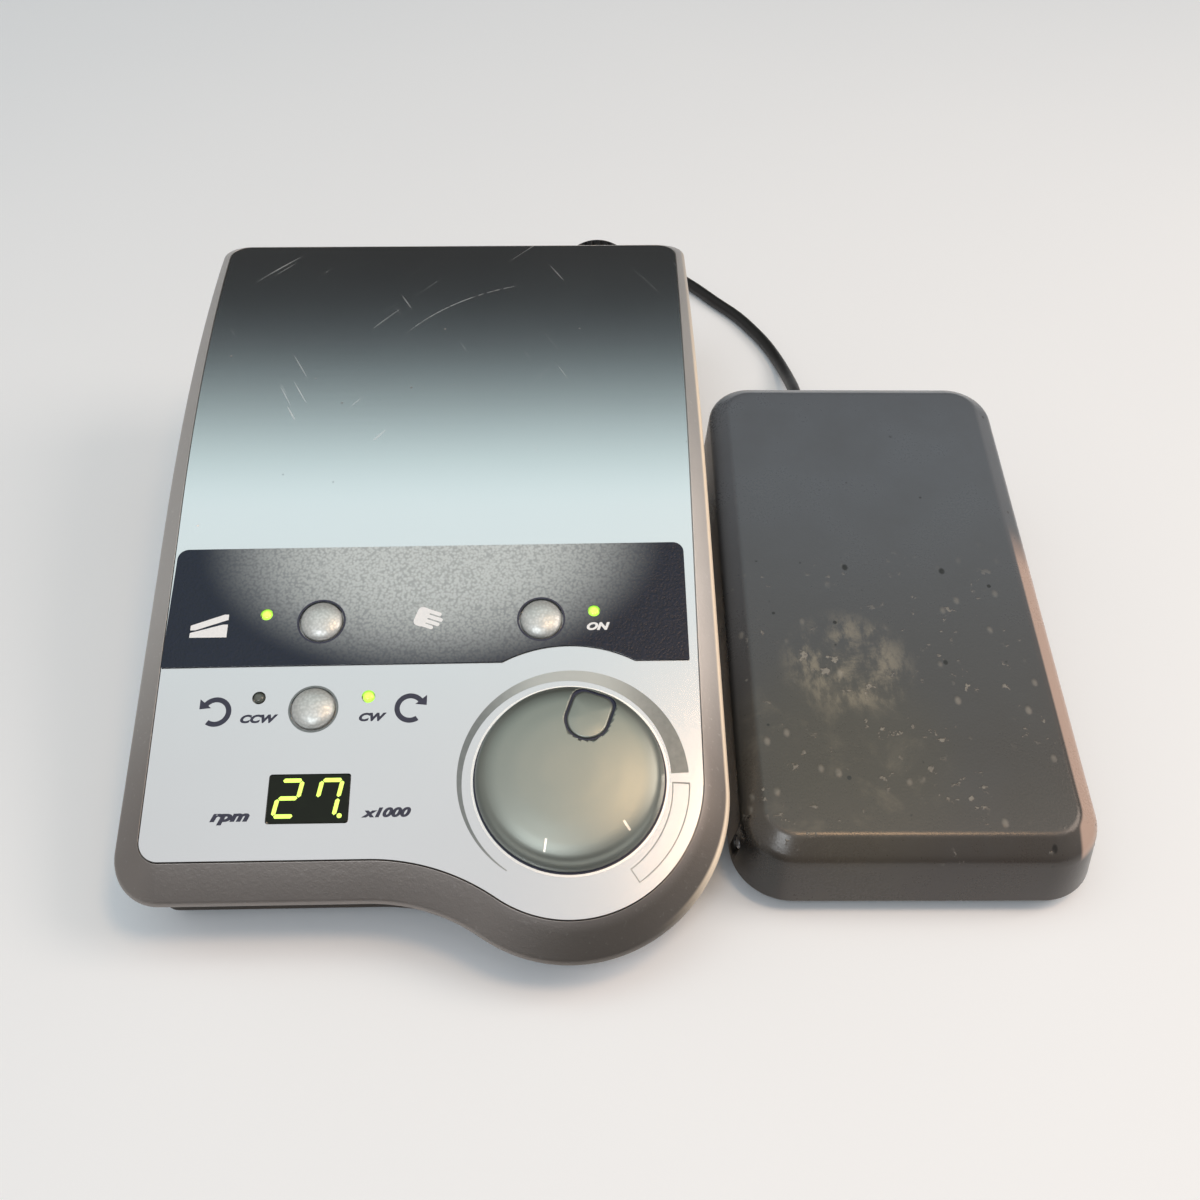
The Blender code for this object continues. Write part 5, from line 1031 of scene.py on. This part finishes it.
for name, spot in BUTTONS.items():
    # Each button gets a thin dark ring round its hole: painted shade in the gap round the cap.
    gap_shade_look, lift = (ink_grey, INK_LIFT) if name == "button_direction" else (ink_blue, BAND_LIFT)
    edges = [circle(spot, BUTTON_RADIUS + grow, 64) for grow in (0.0009, 0.0004)]
    printed(name.replace("button", "gap_shade_of"), edges, gap_shade_look, lift)
    grid = in_panel(button_cap + (*spot, 0))
    body = name.removeprefix("button_") + "_button"
    cap_name = name.replace("button", "cap")
    shell_piece(cap_name, grid, button_metal, body, stands_for=(name,), slot="button_silver", crease=60)


# The lamps: 3 mm light-emitting diodes in tinted lenses. Three of them are lit.
lens_fixed = {"Roughness": 0.18, "Coat Weight": 0.5, "Emission Strength": 1.2}
LIT = ((196, 245, 96), (150, 220, 60))
lens_lit = grained("lens_lit", lens_fixed, (900.0, 2.0), *LIT, glow=LIT)
dark_fixed = {**lens_fixed, "Emission Strength": 0.0}
lens_dark = grained("lens_dark", dark_fixed, (900.0, 2.0), (92, 98, 92), (70, 76, 72))
lens_profile = [(0, -0.0097), (0.0021, -0.0097), (0.0021, -0.0014), (LED_RADIUS, -0.0014), (LED_RADIUS, 0.0)]
lens_profile += [(0.0010, 0.0006), (0, 0.0006)]
for name, spot in LEDS.items():
    grid = in_panel(spun(lens_profile, 32, [0, 0, 0, 0.0006, 0.0006], 5) + (*spot, 0))
    look, slot = (lens_dark, "led_dark") if name == "led_reverse" else (lens_lit, "led_green")
    shell_piece(name.replace("led", "lamp"), grid, look, BOX, stands_for=(name,), slot=slot)


# The display: a smoked acrylic window over a two-figure, seven-segment module, its figures lit
# yellow-green and leaning to the right.
smoked_fixed = {
    "Roughness": 0.3,
    "Specular IOR Level": 0.15,
    "Coat Weight": 0.1,
    "Coat Roughness": 0.06,
    "Emission Strength": 0.3,
}
smoked_glow = ((8, 14, 5), (18, 30, 10))
smoked = grained("smoked_acrylic", smoked_fixed, (240.0, 3.0), (10, 14, 10), (20, 26, 18), glow=smoked_glow)
pane = round_rect(0.0204, 0.0125, 0.0008, WINDOW)
PANE_LOW = -0.0008
PANE_TOP = 0.00012
pane_rings = [
    lifted(drawn_in(pane, 1e-4, WINDOW), PANE_LOW),
    lifted(pane, PANE_LOW),
    lifted(pane, 0.0001),
    lifted(drawn_in(pane, 0.96, WINDOW), PANE_TOP),
    lifted(drawn_in(pane, 1e-4, WINDOW), PANE_TOP),
]
pane_grid = in_panel(np.array(pane_rings))
shell_piece(
    "window_pane", pane_grid, smoked, BOX, stands_for=("display_window",), slot="window_dark", crease=70
)
figure_fixed = {"Roughness": 0.3, "Emission Strength": 1.1}
unlit = ((150, 190, 60), (170, 210, 70))
figure_light = ((205, 238, 92), (222, 250, 128))
figure_glow = grained("figure_glow", figure_fixed, (700.0, 2.0), *unlit, glow=figure_light)
FIGURE_WIDTH = 0.0052
FIGURE_HEIGHT = 0.0094
STROKE = 0.0011
LEAN = math.tan(math.radians(10))
FIGURE_LIFT = 0.00016
SEGMENTS = {"2": "abged", "7": "abcf"}


def bar(start, end):
    """A segment of the display: a bar with pointed ends, from one corner of the figure to the next."""
    start, end = np.array(start), np.array(end)
    way = (end - start) / np.linalg.norm(end - start)
    side = np.array([-way[1], way[0]]) * STROKE / 2
    gap = way * STROKE * 0.16
    inset = way * STROKE * 0.55
    under = [start + gap, start + inset - side, end - inset - side]
    return np.array([*under, end - gap, end - inset + side, start + inset + side])


def figure(digit, at):
    """The lit bars of one digit, sheared by 10 degrees."""
    w, h = FIGURE_WIDTH / 2, FIGURE_HEIGHT / 2
    corners = {"a": ((-w, h), (w, h)), "b": ((w, h), (w, 0)), "c": ((w, 0), (w, -h))}
    corners |= {"d": ((w, -h), (-w, -h)), "e": ((-w, -h), (-w, 0)), "f": ((-w, 0), (-w, h))}
    corners["g"] = ((-w, 0), (w, 0))
    shapes = [bar(*corners[segment]) for segment in SEGMENTS[digit]]
    return [shape + np.stack([shape[:, 1] * LEAN, 0 * shape[:, 1]], axis=1) + at for shape in shapes]


figure_middle = WINDOW[1] + 0.0001
lit_bars = figure("2", (WINDOW[0] - 0.0052, figure_middle)) + figure("7", (WINDOW[0] + 0.0050, figure_middle))
lit_bars.append(circle((WINDOW[0] + 0.0082, WINDOW[1] - 0.0046), 0.00065, 16))
for i, loop in enumerate(lit_bars):
    piece = printed(f"lit_bar_{i}", [loop], figure_glow, FIGURE_LIFT)


# The pedal's cover: a shell of blue-grey ABS with a broad chamfer and drafted sides, moulded in one
# piece. It tilts on a steel pin near its front. Its top is scuffed and dusty where the shoe rests.
PEDAL_AT = np.array([0.1297, -0.002, 0.0])
PEDAL_SKEW = math.radians(-1.0)
PEDAL_HALF = 0.0492
PEDAL_LENGTH = 0.175
PEDAL_CORNER = 0.016
PEDAL_WALL = 0.0025
PEDAL_PIN = (0.0130, 0.0135)
SPRING_SPOT = (0.028, 0.128)


def in_pedal(points):
    """From across, along and above the pedal, from the middle of its front edge, to the shared frame."""
    points = np.asarray(points, float)
    c, s = math.cos(PEDAL_SKEW), math.sin(PEDAL_SKEW)
    x, y, z = np.moveaxis(points, -1, 0)
    return np.stack([c * x - s * y, s * x + c * y, z], axis=-1) + PEDAL_AT + SHIFT


def pedal_outline(inset):
    """The pedal from above: a rectangle with rounded corners, its straight sides in 24 steps each."""
    corner = max(PEDAL_CORNER - inset, PEDAL_CORNER / 4)
    size = (2 * (PEDAL_HALF - inset), PEDAL_LENGTH - 2 * inset)
    corners = round_rect(*size, corner, (0, PEDAL_LENGTH / 2), 16)
    out = []
    for a, b in zip(corners, np.roll(corners, -1, axis=0)):
        far = np.linalg.norm(b - a) > 0.01
        out.append(a + (b - a) * np.linspace(0, 1, 24 if far else 1, endpoint=False)[:, None])
    return np.vstack(out)


def sloped(outline, front, rear, drop=0.0):
    """Each point at the height of a line from front to rear, less the drop."""
    return lifted(outline, front + (rear - front) * outline[:, 1] / PEDAL_LENGTH - drop)


PEDAL_TOP = (0.0235, 0.0495)
PEDAL_RIM = (0.0050, 0.0165)
PEDAL_DRAFT = 0.0022
PEDAL_EDGE = 0.0058
PEDAL_SHOULDER = 0.0036
heart = (0.0, PEDAL_LENGTH / 2)
inner_top = pedal_outline(PEDAL_DRAFT + PEDAL_EDGE * 1.08)
outer_top = pedal_outline(PEDAL_DRAFT + PEDAL_EDGE)
cover_rings = [sloped(drawn_in(inner_top, share, heart), *PEDAL_TOP, PEDAL_WALL) for share in (1e-4, 0.5, 1)]
cover_rings += [
    sloped(pedal_outline(PEDAL_DRAFT + PEDAL_WALL), *PEDAL_TOP, PEDAL_SHOULDER),
    sloped(pedal_outline(PEDAL_WALL), *PEDAL_RIM),
    sloped(pedal_outline(0.0), *PEDAL_RIM),
    sloped(pedal_outline(PEDAL_DRAFT), *PEDAL_TOP, PEDAL_SHOULDER),
]
cover_rings += [sloped(drawn_in(outer_top, share, heart), *PEDAL_TOP) for share in (1, 0.75, 0.5, 0.25, 1e-4)]
cover_radii = [0, 0.001, 0.001, 0.0003, 0.0006, 0.0020, 0.0011, 0, 0, 0]

pedal_abs = Finish("pedal_abs", {"Specular IOR Level": 0.55, "Coat Weight": 0.12, "Coat Roughness": 0.16})
pedal_spot = pedal_abs.measured_from(PEDAL_AT + SHIFT)
pedal_x, pedal_y, pedal_z = pedal_spot.axes()
pedal_mottle = pedal_spot.noise(26.0, 6.0, 0.62)
pedal_film = pedal_spot.noise(70.0, 8.0, 0.7, 0.4)
# The top is painted blue-grey towards the rear and browner and darker towards the front: painted reflection
# of the light on the top.
pedal_tone = pedal_y.between(0.15, 0.01).blend(rgb(92, 99, 107), rgb(66, 62, 58))
pedal_tone = (pedal_mottle.between(0.35, 0.75) * 0.35).blend(pedal_tone, rgb(74, 77, 80))
fall = pedal_y * ((PEDAL_TOP[1] - PEDAL_TOP[0]) / PEDAL_LENGTH) + PEDAL_TOP[0] - pedal_z
below_top = fall.between(0.0012, 0.0060)
# The left wall beside the box, and less so the front wall, are painted near black below the top's edge:
# painted shade.
left_side = 1 - pedal_x.between(-0.040, -0.034)
walls = below_top * (left_side + (1 - pedal_y.between(0.0, 0.010)) * 0.7)
pedal_tone = (walls * 0.85).blend(pedal_tone, left_side.blend(rgb(38, 27, 21), rgb(12, 11, 10)))
# A pinkish-beige strip on the right chamfer: a painted highlight of warm light from the right.
facet_highlight = pedal_x.between(0.0400, 0.0412) * (pedal_y + pedal_mottle * 0.02).between(0.122, 0.100)
facet_highlight = facet_highlight * fall.between(0.0002, 0.0007) * (1 - fall.between(0.0036, 0.0062))
pedal_tone = (facet_highlight * 0.85).blend(pedal_tone, rgb(192, 166, 152))


def patch(x, y, wide, deep):
    """1 at a place on the pedal's top, falling smoothly to 0 at the edge of an ellipse round it."""
    off = ((pedal_x - x) * (1 / wide)) ** 2 + ((pedal_y - y) * (1 / deep)) ** 2
    return 1 - off.between(0.0, 1.0)


wiped = pedal_spot.shift(turn=(0, 0, 0.6), scale=(1, 0.45, 1)).noise(260.0, 5.0, 0.65)
smudge = patch(-0.013, 0.060, 0.021, 0.020) * pedal_film.between(0.36, 0.60) * wiped.between(0.40, 0.60)
smudge = smudge + patch(-0.020, 0.030, 0.034, 0.034) * pedal_film.between(0.48, 0.75) * 0.5
pedal_tone = (smudge * 0.62).blend(pedal_tone, rgb(158, 153, 136))
yellowed = patch(-0.018, 0.030, 0.036, 0.040)
pedal_tone = (yellowed * 0.35).blend(pedal_tone, rgb(84, 80, 64))
dust_cells = pedal_spot.shift(scale=(1.2, 0.8, 1.0)).cells(150.0, "F1")
dust = (1 - dust_cells.between(0.05, 0.22)) * pedal_spot.noise(95.0, 3.0).between(0.46, 0.56) * 0.7
nicks = pedal_spot.shift((0.05, 0.02, 0.0)).noise(300.0, 3.0, 0.6).between(0.615, 0.68)
dust = dust + nicks * pedal_spot.noise(60.0, 2.0).between(0.47, 0.58)
dust = dust * pedal_y.between(0.110, 0.060) * (1 - below_top)
grit = 1 - pedal_spot.shift((0.013, 0.021, 0.0)).cells(120.0, "F1").between(0.05, 0.10)
grit = grit * pedal_spot.shift((0.4, 0.2, 0.1)).noise(80.0, 2.0).between(0.50, 0.56)
GRIT = [(-0.0089, 0.0940, 0.0012), (0.0200, 0.0921, 0.0012)]
GRIT += [(0.0330, 0.0045, 0.0010), (0.0150, 0.0600, 0.0009)]
for x, y, size in GRIT:
    grit = grit + patch(x, y, size, size * 1.3)
pedal_tone = (dust * 0.55).blend(pedal_tone, rgb(158, 155, 146))
pedal_abs.feed("Base Color", (grit.between(0.0, 1.0) * 0.85).blend(pedal_tone, rgb(26, 25, 24)))
pedal_grain = pedal_spot.noise(1500.0, 2.0, 0.5)
pedal_abs.feed("Roughness", pedal_mottle * 0.12 + smudge * 0.2 + dust * 0.3 + pedal_grain * 0.05 + 0.20)
pedal_abs.raise_by(pedal_grain + dust * 5.0 + pedal_film * 0.5, 0.00005, 0.6)

cover = shell_piece(
    "pedal_shell",
    eased([in_pedal(ring) for ring in cover_rings], cover_radii, 5),
    pedal_abs,
    "pedal_plate",
    stands_for=("pedal_cover",),
    slot="pedal_grey",
    crease=50,
)


def across_pedal(outline, low, high):
    """A prism whose outline lies in the pedal's long section, from low to high across it."""
    return slab(outline, low, high, lambda points: in_pedal(np.asarray(points)[:, [2, 0, 1]]))


def behind_pedal(outline, low, high):
    """A prism that runs along the pedal, with its outline across and up."""
    return slab(outline, low, high, lambda points: in_pedal(np.asarray(points)[:, [0, 2, 1]]))


RELIEF_SPOT = (-0.0085, 0.0125)
NOTCH_HALF = 0.0072
NOTCH_TOP = 0.033
notch = bow((RELIEF_SPOT[0], NOTCH_TOP - NOTCH_HALF), NOTCH_HALF, 0, 180, 25)
notch = np.vstack([notch, [(RELIEF_SPOT[0] - NOTCH_HALF, -0.005), (RELIEF_SPOT[0] + NOTCH_HALF, -0.005)]])
PIN_HOLE = 0.0021
pin_hole = circle(PEDAL_PIN, PIN_HOLE, 32)
carved(
    cover,
    [
        behind_pedal(notch, PEDAL_LENGTH - 0.006, PEDAL_LENGTH + 0.004),
        across_pedal(pin_hole, PEDAL_HALF - 0.005, PEDAL_HALF + 0.002),
        across_pedal(pin_hole, -PEDAL_HALF - 0.002, 0.005 - PEDAL_HALF),
    ],
)
PAD_RADIUS = 0.0082
PAD_LOW = 0.0365
PAD_TOP = 0.0413
pad = spun([(0, PAD_LOW), (PAD_RADIUS, PAD_LOW), (PAD_RADIUS, PAD_TOP), (0, PAD_TOP)], 40, [0.0004, 0])
for name, side in (("spring_pad_left", -1), ("spring_pad_right", 1)):
    at = np.array([side * SPRING_SPOT[0], SPRING_SPOT[1], 0])
    shell_piece(name, in_pedal(pad + at), pedal_abs, "pedal_plate", slot="pedal_grey")


# Inside the pedal: a black moulded base with lugs for the steel pin, two compression springs, a rubber
# stop, and a magnet on the cover's arm that passes a Hall sensor on a small upright board.
def bare_nodes(finish, *names):
    """Solids of the frame that keep their shape and take this finish."""
    for name in names:
        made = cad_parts[name]
        made.data.materials.clear()
        made.data.materials.append(finish.material)


bare_nodes(tray_black, "pedal_base", "pedal_magnet_arm")
bare_nodes(foot_rubber, "pedal_grip_front", "pedal_grip_rear", "pedal_stop_buffer")
steel_tones = ((168, 170, 172), (200, 201, 202))
bright_steel = grained("bright_steel", {"Metallic": 1.0}, (900.0, 3.0), *steel_tones, (0.2, 0.22))
bare_nodes(bright_steel, "pedal_hinge_pin")
board_green = Finish("board_green", {"Specular IOR Level": 0.5, "Coat Weight": 0.3})
track_values = {"Vector": board_green.spot, "Scale": 130.0, "Mortar Size": 0.03}
board_tracks = board_green.node("ShaderNodeTexBrick", {"offset": 0.37}, track_values, "Fac")
board_green.feed("Base Color", board_tracks.blend(rgb(24, 92, 52), rgb(58, 132, 78)))
board_green.feed("Roughness", board_tracks * 0.1 + 0.35)
board_green.raise_by(board_tracks, 0.00004, 0.5)
bare_nodes(board_green, "pedal_sensor_board")

SPRING_WIRE = 0.0007
SPRING_RADIUS = 0.006
SPRING_FOOT = 0.0058
SPRING_LOW = SPRING_FOOT + SPRING_WIRE
SPRING_HIGH = 0.0362 - SPRING_WIRE
steps = np.arange(6 * 40 + 1) / 40
opened = np.clip(steps - 1, 0, 4) / 4
shut = np.minimum(steps, 1) + np.maximum(steps - 5, 0)
rise = SPRING_LOW + 2.6 * SPRING_WIRE * shut + (SPRING_HIGH - SPRING_LOW - 5.2 * SPRING_WIRE) * opened
outward = np.stack([np.cos(TURN * steps), np.sin(TURN * steps), 0 * steps], axis=1)
wind = SPRING_RADIUS * outward + rise[:, None] * np.array([0, 0, 1.0])
a = np.linspace(0, TURN, 12, endpoint=False)[:, None]
wire = wind[:, None] + SPRING_WIRE * (np.cos(a) * outward[:, None] + np.sin(a) * np.array([0, 0, 1.0]))
wire = np.concatenate([wind[:1, None] + 0 * wire[:1], wire, wind[-1:, None] + 0 * wire[:1]])
for name, side in (("pedal_spring_left", -1), ("pedal_spring_right", 1)):
    coil_at = np.array([side * SPRING_SPOT[0], SPRING_SPOT[1], 0])
    turns = in_pedal(wire + coil_at)
    spring = shell_piece("wound_" + name, turns, bright_steel, BOX, stands_for=(name,), slot="steel")
    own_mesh(spring)


# The cord's ends: a ribbed rubber sleeve moulded on the cord where it enters the pedal, and a moulded
# plug with finger grooves at the box's rear.
REAR_AT = np.array([0.0, 0.209, 0.0])
SEAT = 0.0021


def in_rear(points):
    """From across (seen from behind), up and out of the rear panel, to the shared frame."""
    x, z, out = np.moveaxis(np.asarray(points, float), -1, 0)
    return np.stack([-x, out, z], axis=-1) + REAR_AT + SHIFT


def behind_sleeve(points):
    """From across, up and along the cord at the pedal's rear, to the shared frame."""
    x, z, out = np.moveaxis(np.asarray(points, float), -1, 0)
    return in_pedal(np.stack([x + RELIEF_SPOT[0], out + PEDAL_LENGTH, z + RELIEF_SPOT[1]], axis=-1))


rubber_relief = ((2400.0, 2.0), 0.00006, 0.5)
rubber_tones = ((17, 17, 18), (42, 41, 41))
cord_rubber = grained("cord_rubber", dull, (340.0, 5.0, 0.65), *rubber_tones, (0.2, 0.45), rubber_relief)

SLEEVE_RADIUS = 0.0048
SLEEVE_END = 0.0033
SLEEVE_LENGTH = 0.026
RIBS = 5
rib = SLEEVE_LENGTH / RIBS
sleeve_profile = [(0, -0.0088), (0.0062, -0.0088), (0.0062, -0.0066)]
sleeve_profile += [(SLEEVE_RADIUS, -0.0066), (SLEEVE_RADIUS, 0.0)]
for i in range(RIBS):
    start, end = rib * i, rib * (i + 0.6)
    fat = SLEEVE_RADIUS + (SLEEVE_END - SLEEVE_RADIUS) * i / RIBS
    thin = fat * 0.82
    sleeve_profile += [(fat, start + 0.0003), (fat, end), (thin, end + 0.0003), (thin, start + rib)]
sleeve_profile.append((0, SLEEVE_LENGTH))
sleeve = behind_sleeve(spun(sleeve_profile, 48, [0.0003] * (len(sleeve_profile) - 2), 3))
relief_node = ("pedal_strain_relief",)
shell_piece("cord_sleeve", sleeve, cord_rubber, BOX, stands_for=relief_node, slot="rubber_black", crease=60)

JACK = (-0.050, 0.030)
PLUG_ROOT = SEAT + 0.0053
plug_profile = [(0, -0.009), (0.0022, -0.009), (0.0031, -0.0075), (0.0031, 0.0), (0.0054, 0.0)]
for i in range(7):
    along = 0.0022 + 0.0021 * i
    plug_profile += [(0.0056, along), (0.0056, along + 0.0011)]
    plug_profile += [(0.0051, along + 0.0014), (0.0051, along + 0.0018)]
plug_profile += [(0.0054, 0.0182), (0.0042, 0.0200), (0.0034, 0.0240), (0.0031, 0.0300), (0, 0.0300)]
plug = in_rear(spun(plug_profile, 48, [0.0004] * (len(plug_profile) - 2), 3) + (*JACK, PLUG_ROOT))
shell_piece(
    "moulded_plug", plug, cord_rubber, BOX, stands_for=("cord_plug",), slot="plastic_black", crease=60
)


# The rear panel: a grey-painted aluminium plate screwed to the housing, with the mains inlet, the fuse,
# the rocker switch, the handpiece's round socket and the jack for the pedal's plug.
rear_paint = Finish("rear_paint", {"Metallic": 0.35, "Specular IOR Level": 0.5})
rear_orange = rear_paint.spot.noise(700.0, 3.0)
rear_paint.feed("Base Color", rear_paint.spot.noise(18.0, 5.0).blend(rgb(126, 129, 131), rgb(146, 149, 150)))
rear_paint.feed("Roughness", rear_orange * 0.16 + 0.34)
rear_paint.raise_by(rear_orange, 0.00005, 0.5)
bare_nodes(rear_paint, "rear_panel")

FUSE = (0.012, 0.030)
SOCKET = (-0.049, 0.0602)
bare_nodes(tray_black, "mains_inlet", "power_switch_frame")
gloss_fixed = {"Specular IOR Level": 0.5}
rocker_gloss = grained("rocker_gloss", gloss_fixed, (500.0, 4.0), (16, 16, 17), (34, 34, 35), (0.2, 0.2))
bare_nodes(rocker_gloss, "power_switch_rocker")


def turned_piece(name, profile, radii, at, finish, node, slot, sides=64):
    """A round fitting of the rear panel, turned about the axis that stands out of it."""
    grid = in_rear(spun(profile, sides, radii, 4) + (*at, 0))
    return shell_piece(name, grid, finish, BOX, stands_for=(node,) if node else (), slot=slot, crease=50)


rim_out = SEAT + 0.0012
fuse_profile = [(0, -0.024), (0.0055, -0.024), (0.0055, SEAT), (0.0075, SEAT), (0.0075, rim_out)]
fuse_profile += [(0.0033, rim_out), (0.0033, -0.012), (0, -0.012)]
turned_piece("fuse_body", fuse_profile, [0.0003] * 6, FUSE, tray_black, "fuse_holder", "plastic_black")
cap_low = rim_out + 0.0003
cap_profile = [(0, -0.0117), (0.0030, -0.0117), (0.0030, cap_low), (0.0060, cap_low)]
cap_profile += [(0.0060, cap_low + 0.0040), (0.0052, cap_low + 0.0050), (0, cap_low + 0.0050)]
cap_radii = [0.0003] * 5
fuse_lid = turned_piece("fuse_lid", cap_profile, cap_radii, FUSE, rocker_gloss, "fuse_cap", "plastic_black")
fuse_slot = round_rect(0.0078, 0.0013, 0.0003, FUSE)
carved(fuse_lid, [slab(fuse_slot, cap_low + 0.0034, cap_low + 0.006, in_rear)])
socket_end = rim_out + 0.012
socket_profile = [(0, -0.012), (0.0055, -0.012), (0.0055, SEAT), (0.0098, SEAT), (0.0098, rim_out)]
socket_profile += [(0.0130, rim_out + 0.0003), (0.0130, socket_end - 0.0012), (0.0118, socket_end)]
socket_profile += [(0.0065, socket_end), (0.0065, socket_end - 0.010), (0, socket_end - 0.010)]
socket_radii = [0.0003, 0.0003, 0.0003, 0.0002, 0.0002, 0.0006, 0.0006, 0.0004, 0.0003]
socket_look = (rocker_gloss, "handpiece_socket", "plastic_black", 96)
round_socket = turned_piece("round_socket", socket_profile, socket_radii, SOCKET, *socket_look)
FLUTE = 0.0007
FLUTES_AT = 0.0133
flutes = [circle(spot, FLUTE, 8) for spot in circle(SOCKET, FLUTES_AT, 30)]
carved(round_socket, [slab(flute, rim_out + 0.0015, socket_end - 0.0022, in_rear) for flute in flutes])
pin_low = socket_end - 0.0101
socket_pin = [(0, pin_low), (0.0008, pin_low), (0.0008, socket_end - 0.0045), (0, socket_end - 0.0040)]
PINS_AT = 0.0036
for i, spot in enumerate(bow(SOCKET, PINS_AT, 45, 315, 4)):
    turned_piece(f"socket_pin_{i}", socket_pin, [0, 0.0004], spot, bright_steel, None, "steel", 20)
jack_end = SEAT + 0.005
jack_profile = [(0, -0.014), (0.0052, -0.014), (0.0052, SEAT), (0.0060, SEAT), (0.0060, jack_end)]
jack_profile += [(0.0035, jack_end), (0.0035, jack_end - 0.012), (0, jack_end - 0.012)]
turned_piece("jack_bush", jack_profile, [0.0003] * 6, JACK, bright_steel, "pedal_jack", "steel")


# The screws: pan-head steel screws with a cross recess, at the rear panel's corners, beside the mains
# inlet, and sunk in the undersides of the box and the pedal.
def screw(name, frame_of, spot, out, radius, rise):
    """A domed head turned from a profile, its cross cut as two crossed slots."""
    head = [(0, out - 0.0004), (radius * 0.9, out - 0.0004), (radius, out + rise * 0.35)]
    head += [(radius * 0.72, out + rise * 0.85), (0, out + rise)]
    grid = frame_of(spun(head, 32, [0.0002, 0.0004, 0.0007], 4) + (*spot, 0))
    made = shell_piece(name, grid, bright_steel, BOX, slot="steel", crease=60)
    slots = [round_rect(radius * w, radius * d, radius * 0.1, spot, 3) for w, d in ((1.2, 0.26), (0.26, 1.2))]
    carved(made, [slab(slot, out + rise * 0.3, out + rise * 2, frame_of) for slot in slots])


def below_box(points):
    """From across, along and down from the tray's underside, to the shared frame."""
    x, y, down = np.moveaxis(np.asarray(points, float), -1, 0)
    return np.stack([x, y, TRAY_LOW - down], axis=-1) + SHIFT


def below_pedal(points):
    """From across, along and down from the pedal's underside, to the shared frame."""
    x, y, down = np.moveaxis(np.asarray(points, float), -1, 0)
    return in_pedal(np.stack([x, y, 0.003 - down], axis=-1))


REAR_SCREWS = ((-0.0585, 0.0420), (0.0600, 0.0665), (-0.0585, 0.0162), (0.0600, 0.0162))
TRAY_SCREWS = ((-0.045, 0.012), (0.045, 0.012), (-0.045, 0.190), (0.045, 0.190))
PEDAL_SCREWS = ((-0.034, 0.036), (0.034, 0.036), (-0.034, 0.139), (0.034, 0.139))
SCREWS = {
    "rear_screw": (REAR_SCREWS, in_rear, 0.0018, 0.0026, 0.0017),
    "tray_screw": (TRAY_SCREWS, below_box, 0.0, 0.0028, 0.0014),
    "pedal_screw": (PEDAL_SCREWS, below_pedal, 0.0, 0.0026, 0.0013),
}
for kind, (spots, frame_of, out, radius, rise) in SCREWS.items():
    for i, spot in enumerate(spots):
        screw(f"{kind}_{i}", frame_of, spot, out, radius, rise)


# Inside the box: the upper board with its switches, display and potentiometer, and the lower board with
# the transformer, the smoothing capacitors and the transistor on its finned heat sink.
bare_nodes(board_green, "control_board", "main_board")
bare_nodes(tray_black, "switch_hand_foot", "switch_motor", "switch_direction")
bare_nodes(tray_black, "display_module", "power_transistor")
bare_nodes(bright_steel, "potentiometer", "potentiometer_nut", "potentiometer_shaft")
sink_tones = ((150, 152, 155), (182, 184, 186))
sink_look = {"rough": (0.2, 0.34), "laid": (1, 0.02, 1)}
sink_aluminium = grained("sink_aluminium", {"Metallic": 0.9}, (1600.0, 2.0), *sink_tones, **sink_look)
bare_nodes(sink_aluminium, "heat_sink")
core_steel = Finish("core_steel", {"Metallic": 0.6})
core_waves = {"bands_direction": "Y", "rings_direction": "Y"}
core_place = {"Vector": core_steel.spot, "Scale": 320.0}
core_plates = core_steel.node("ShaderNodeTexWave", core_waves, core_place, "Fac")
core_steel.feed("Base Color", core_plates.blend(rgb(58, 56, 54), rgb(104, 102, 100)))
core_steel.feed("Roughness", core_plates * 0.2 + 0.4)
core_steel.raise_by(core_plates, 0.0001, 0.6)
bare_nodes(core_steel, "transformer_core")
tape_fixed = {"Specular IOR Level": 0.5, "Coat Weight": 0.3}
tape_tones = ((196, 160, 58), (218, 186, 84))
tape_yellow = grained("tape_yellow", tape_fixed, (700.0, 3.0), *tape_tones, (0.15, 0.3), laid=(0.05, 0.05, 1))
bare_nodes(tape_yellow, "transformer_winding")
capacitor_sleeve = Finish("capacitor_sleeve", {"Specular IOR Level": 0.5, "Coat Weight": 0.4})
stripe = (capacitor_sleeve.measured_from(SHIFT).axes()[0] + 0.010).between(-0.0062, -0.0058)
capacitor_tone = capacitor_sleeve.spot.noise(400.0).blend(rgb(24, 30, 58), rgb(34, 42, 74))
capacitor_sleeve.feed("Base Color", (1 - stripe).blend(capacitor_tone, rgb(196, 200, 204)))
capacitor_sleeve.feed("Roughness", capacitor_sleeve.spot.noise(60.0) * 0.2 + 0.25)
bare_nodes(capacitor_sleeve, "filter_capacitor_1", "filter_capacitor_2")
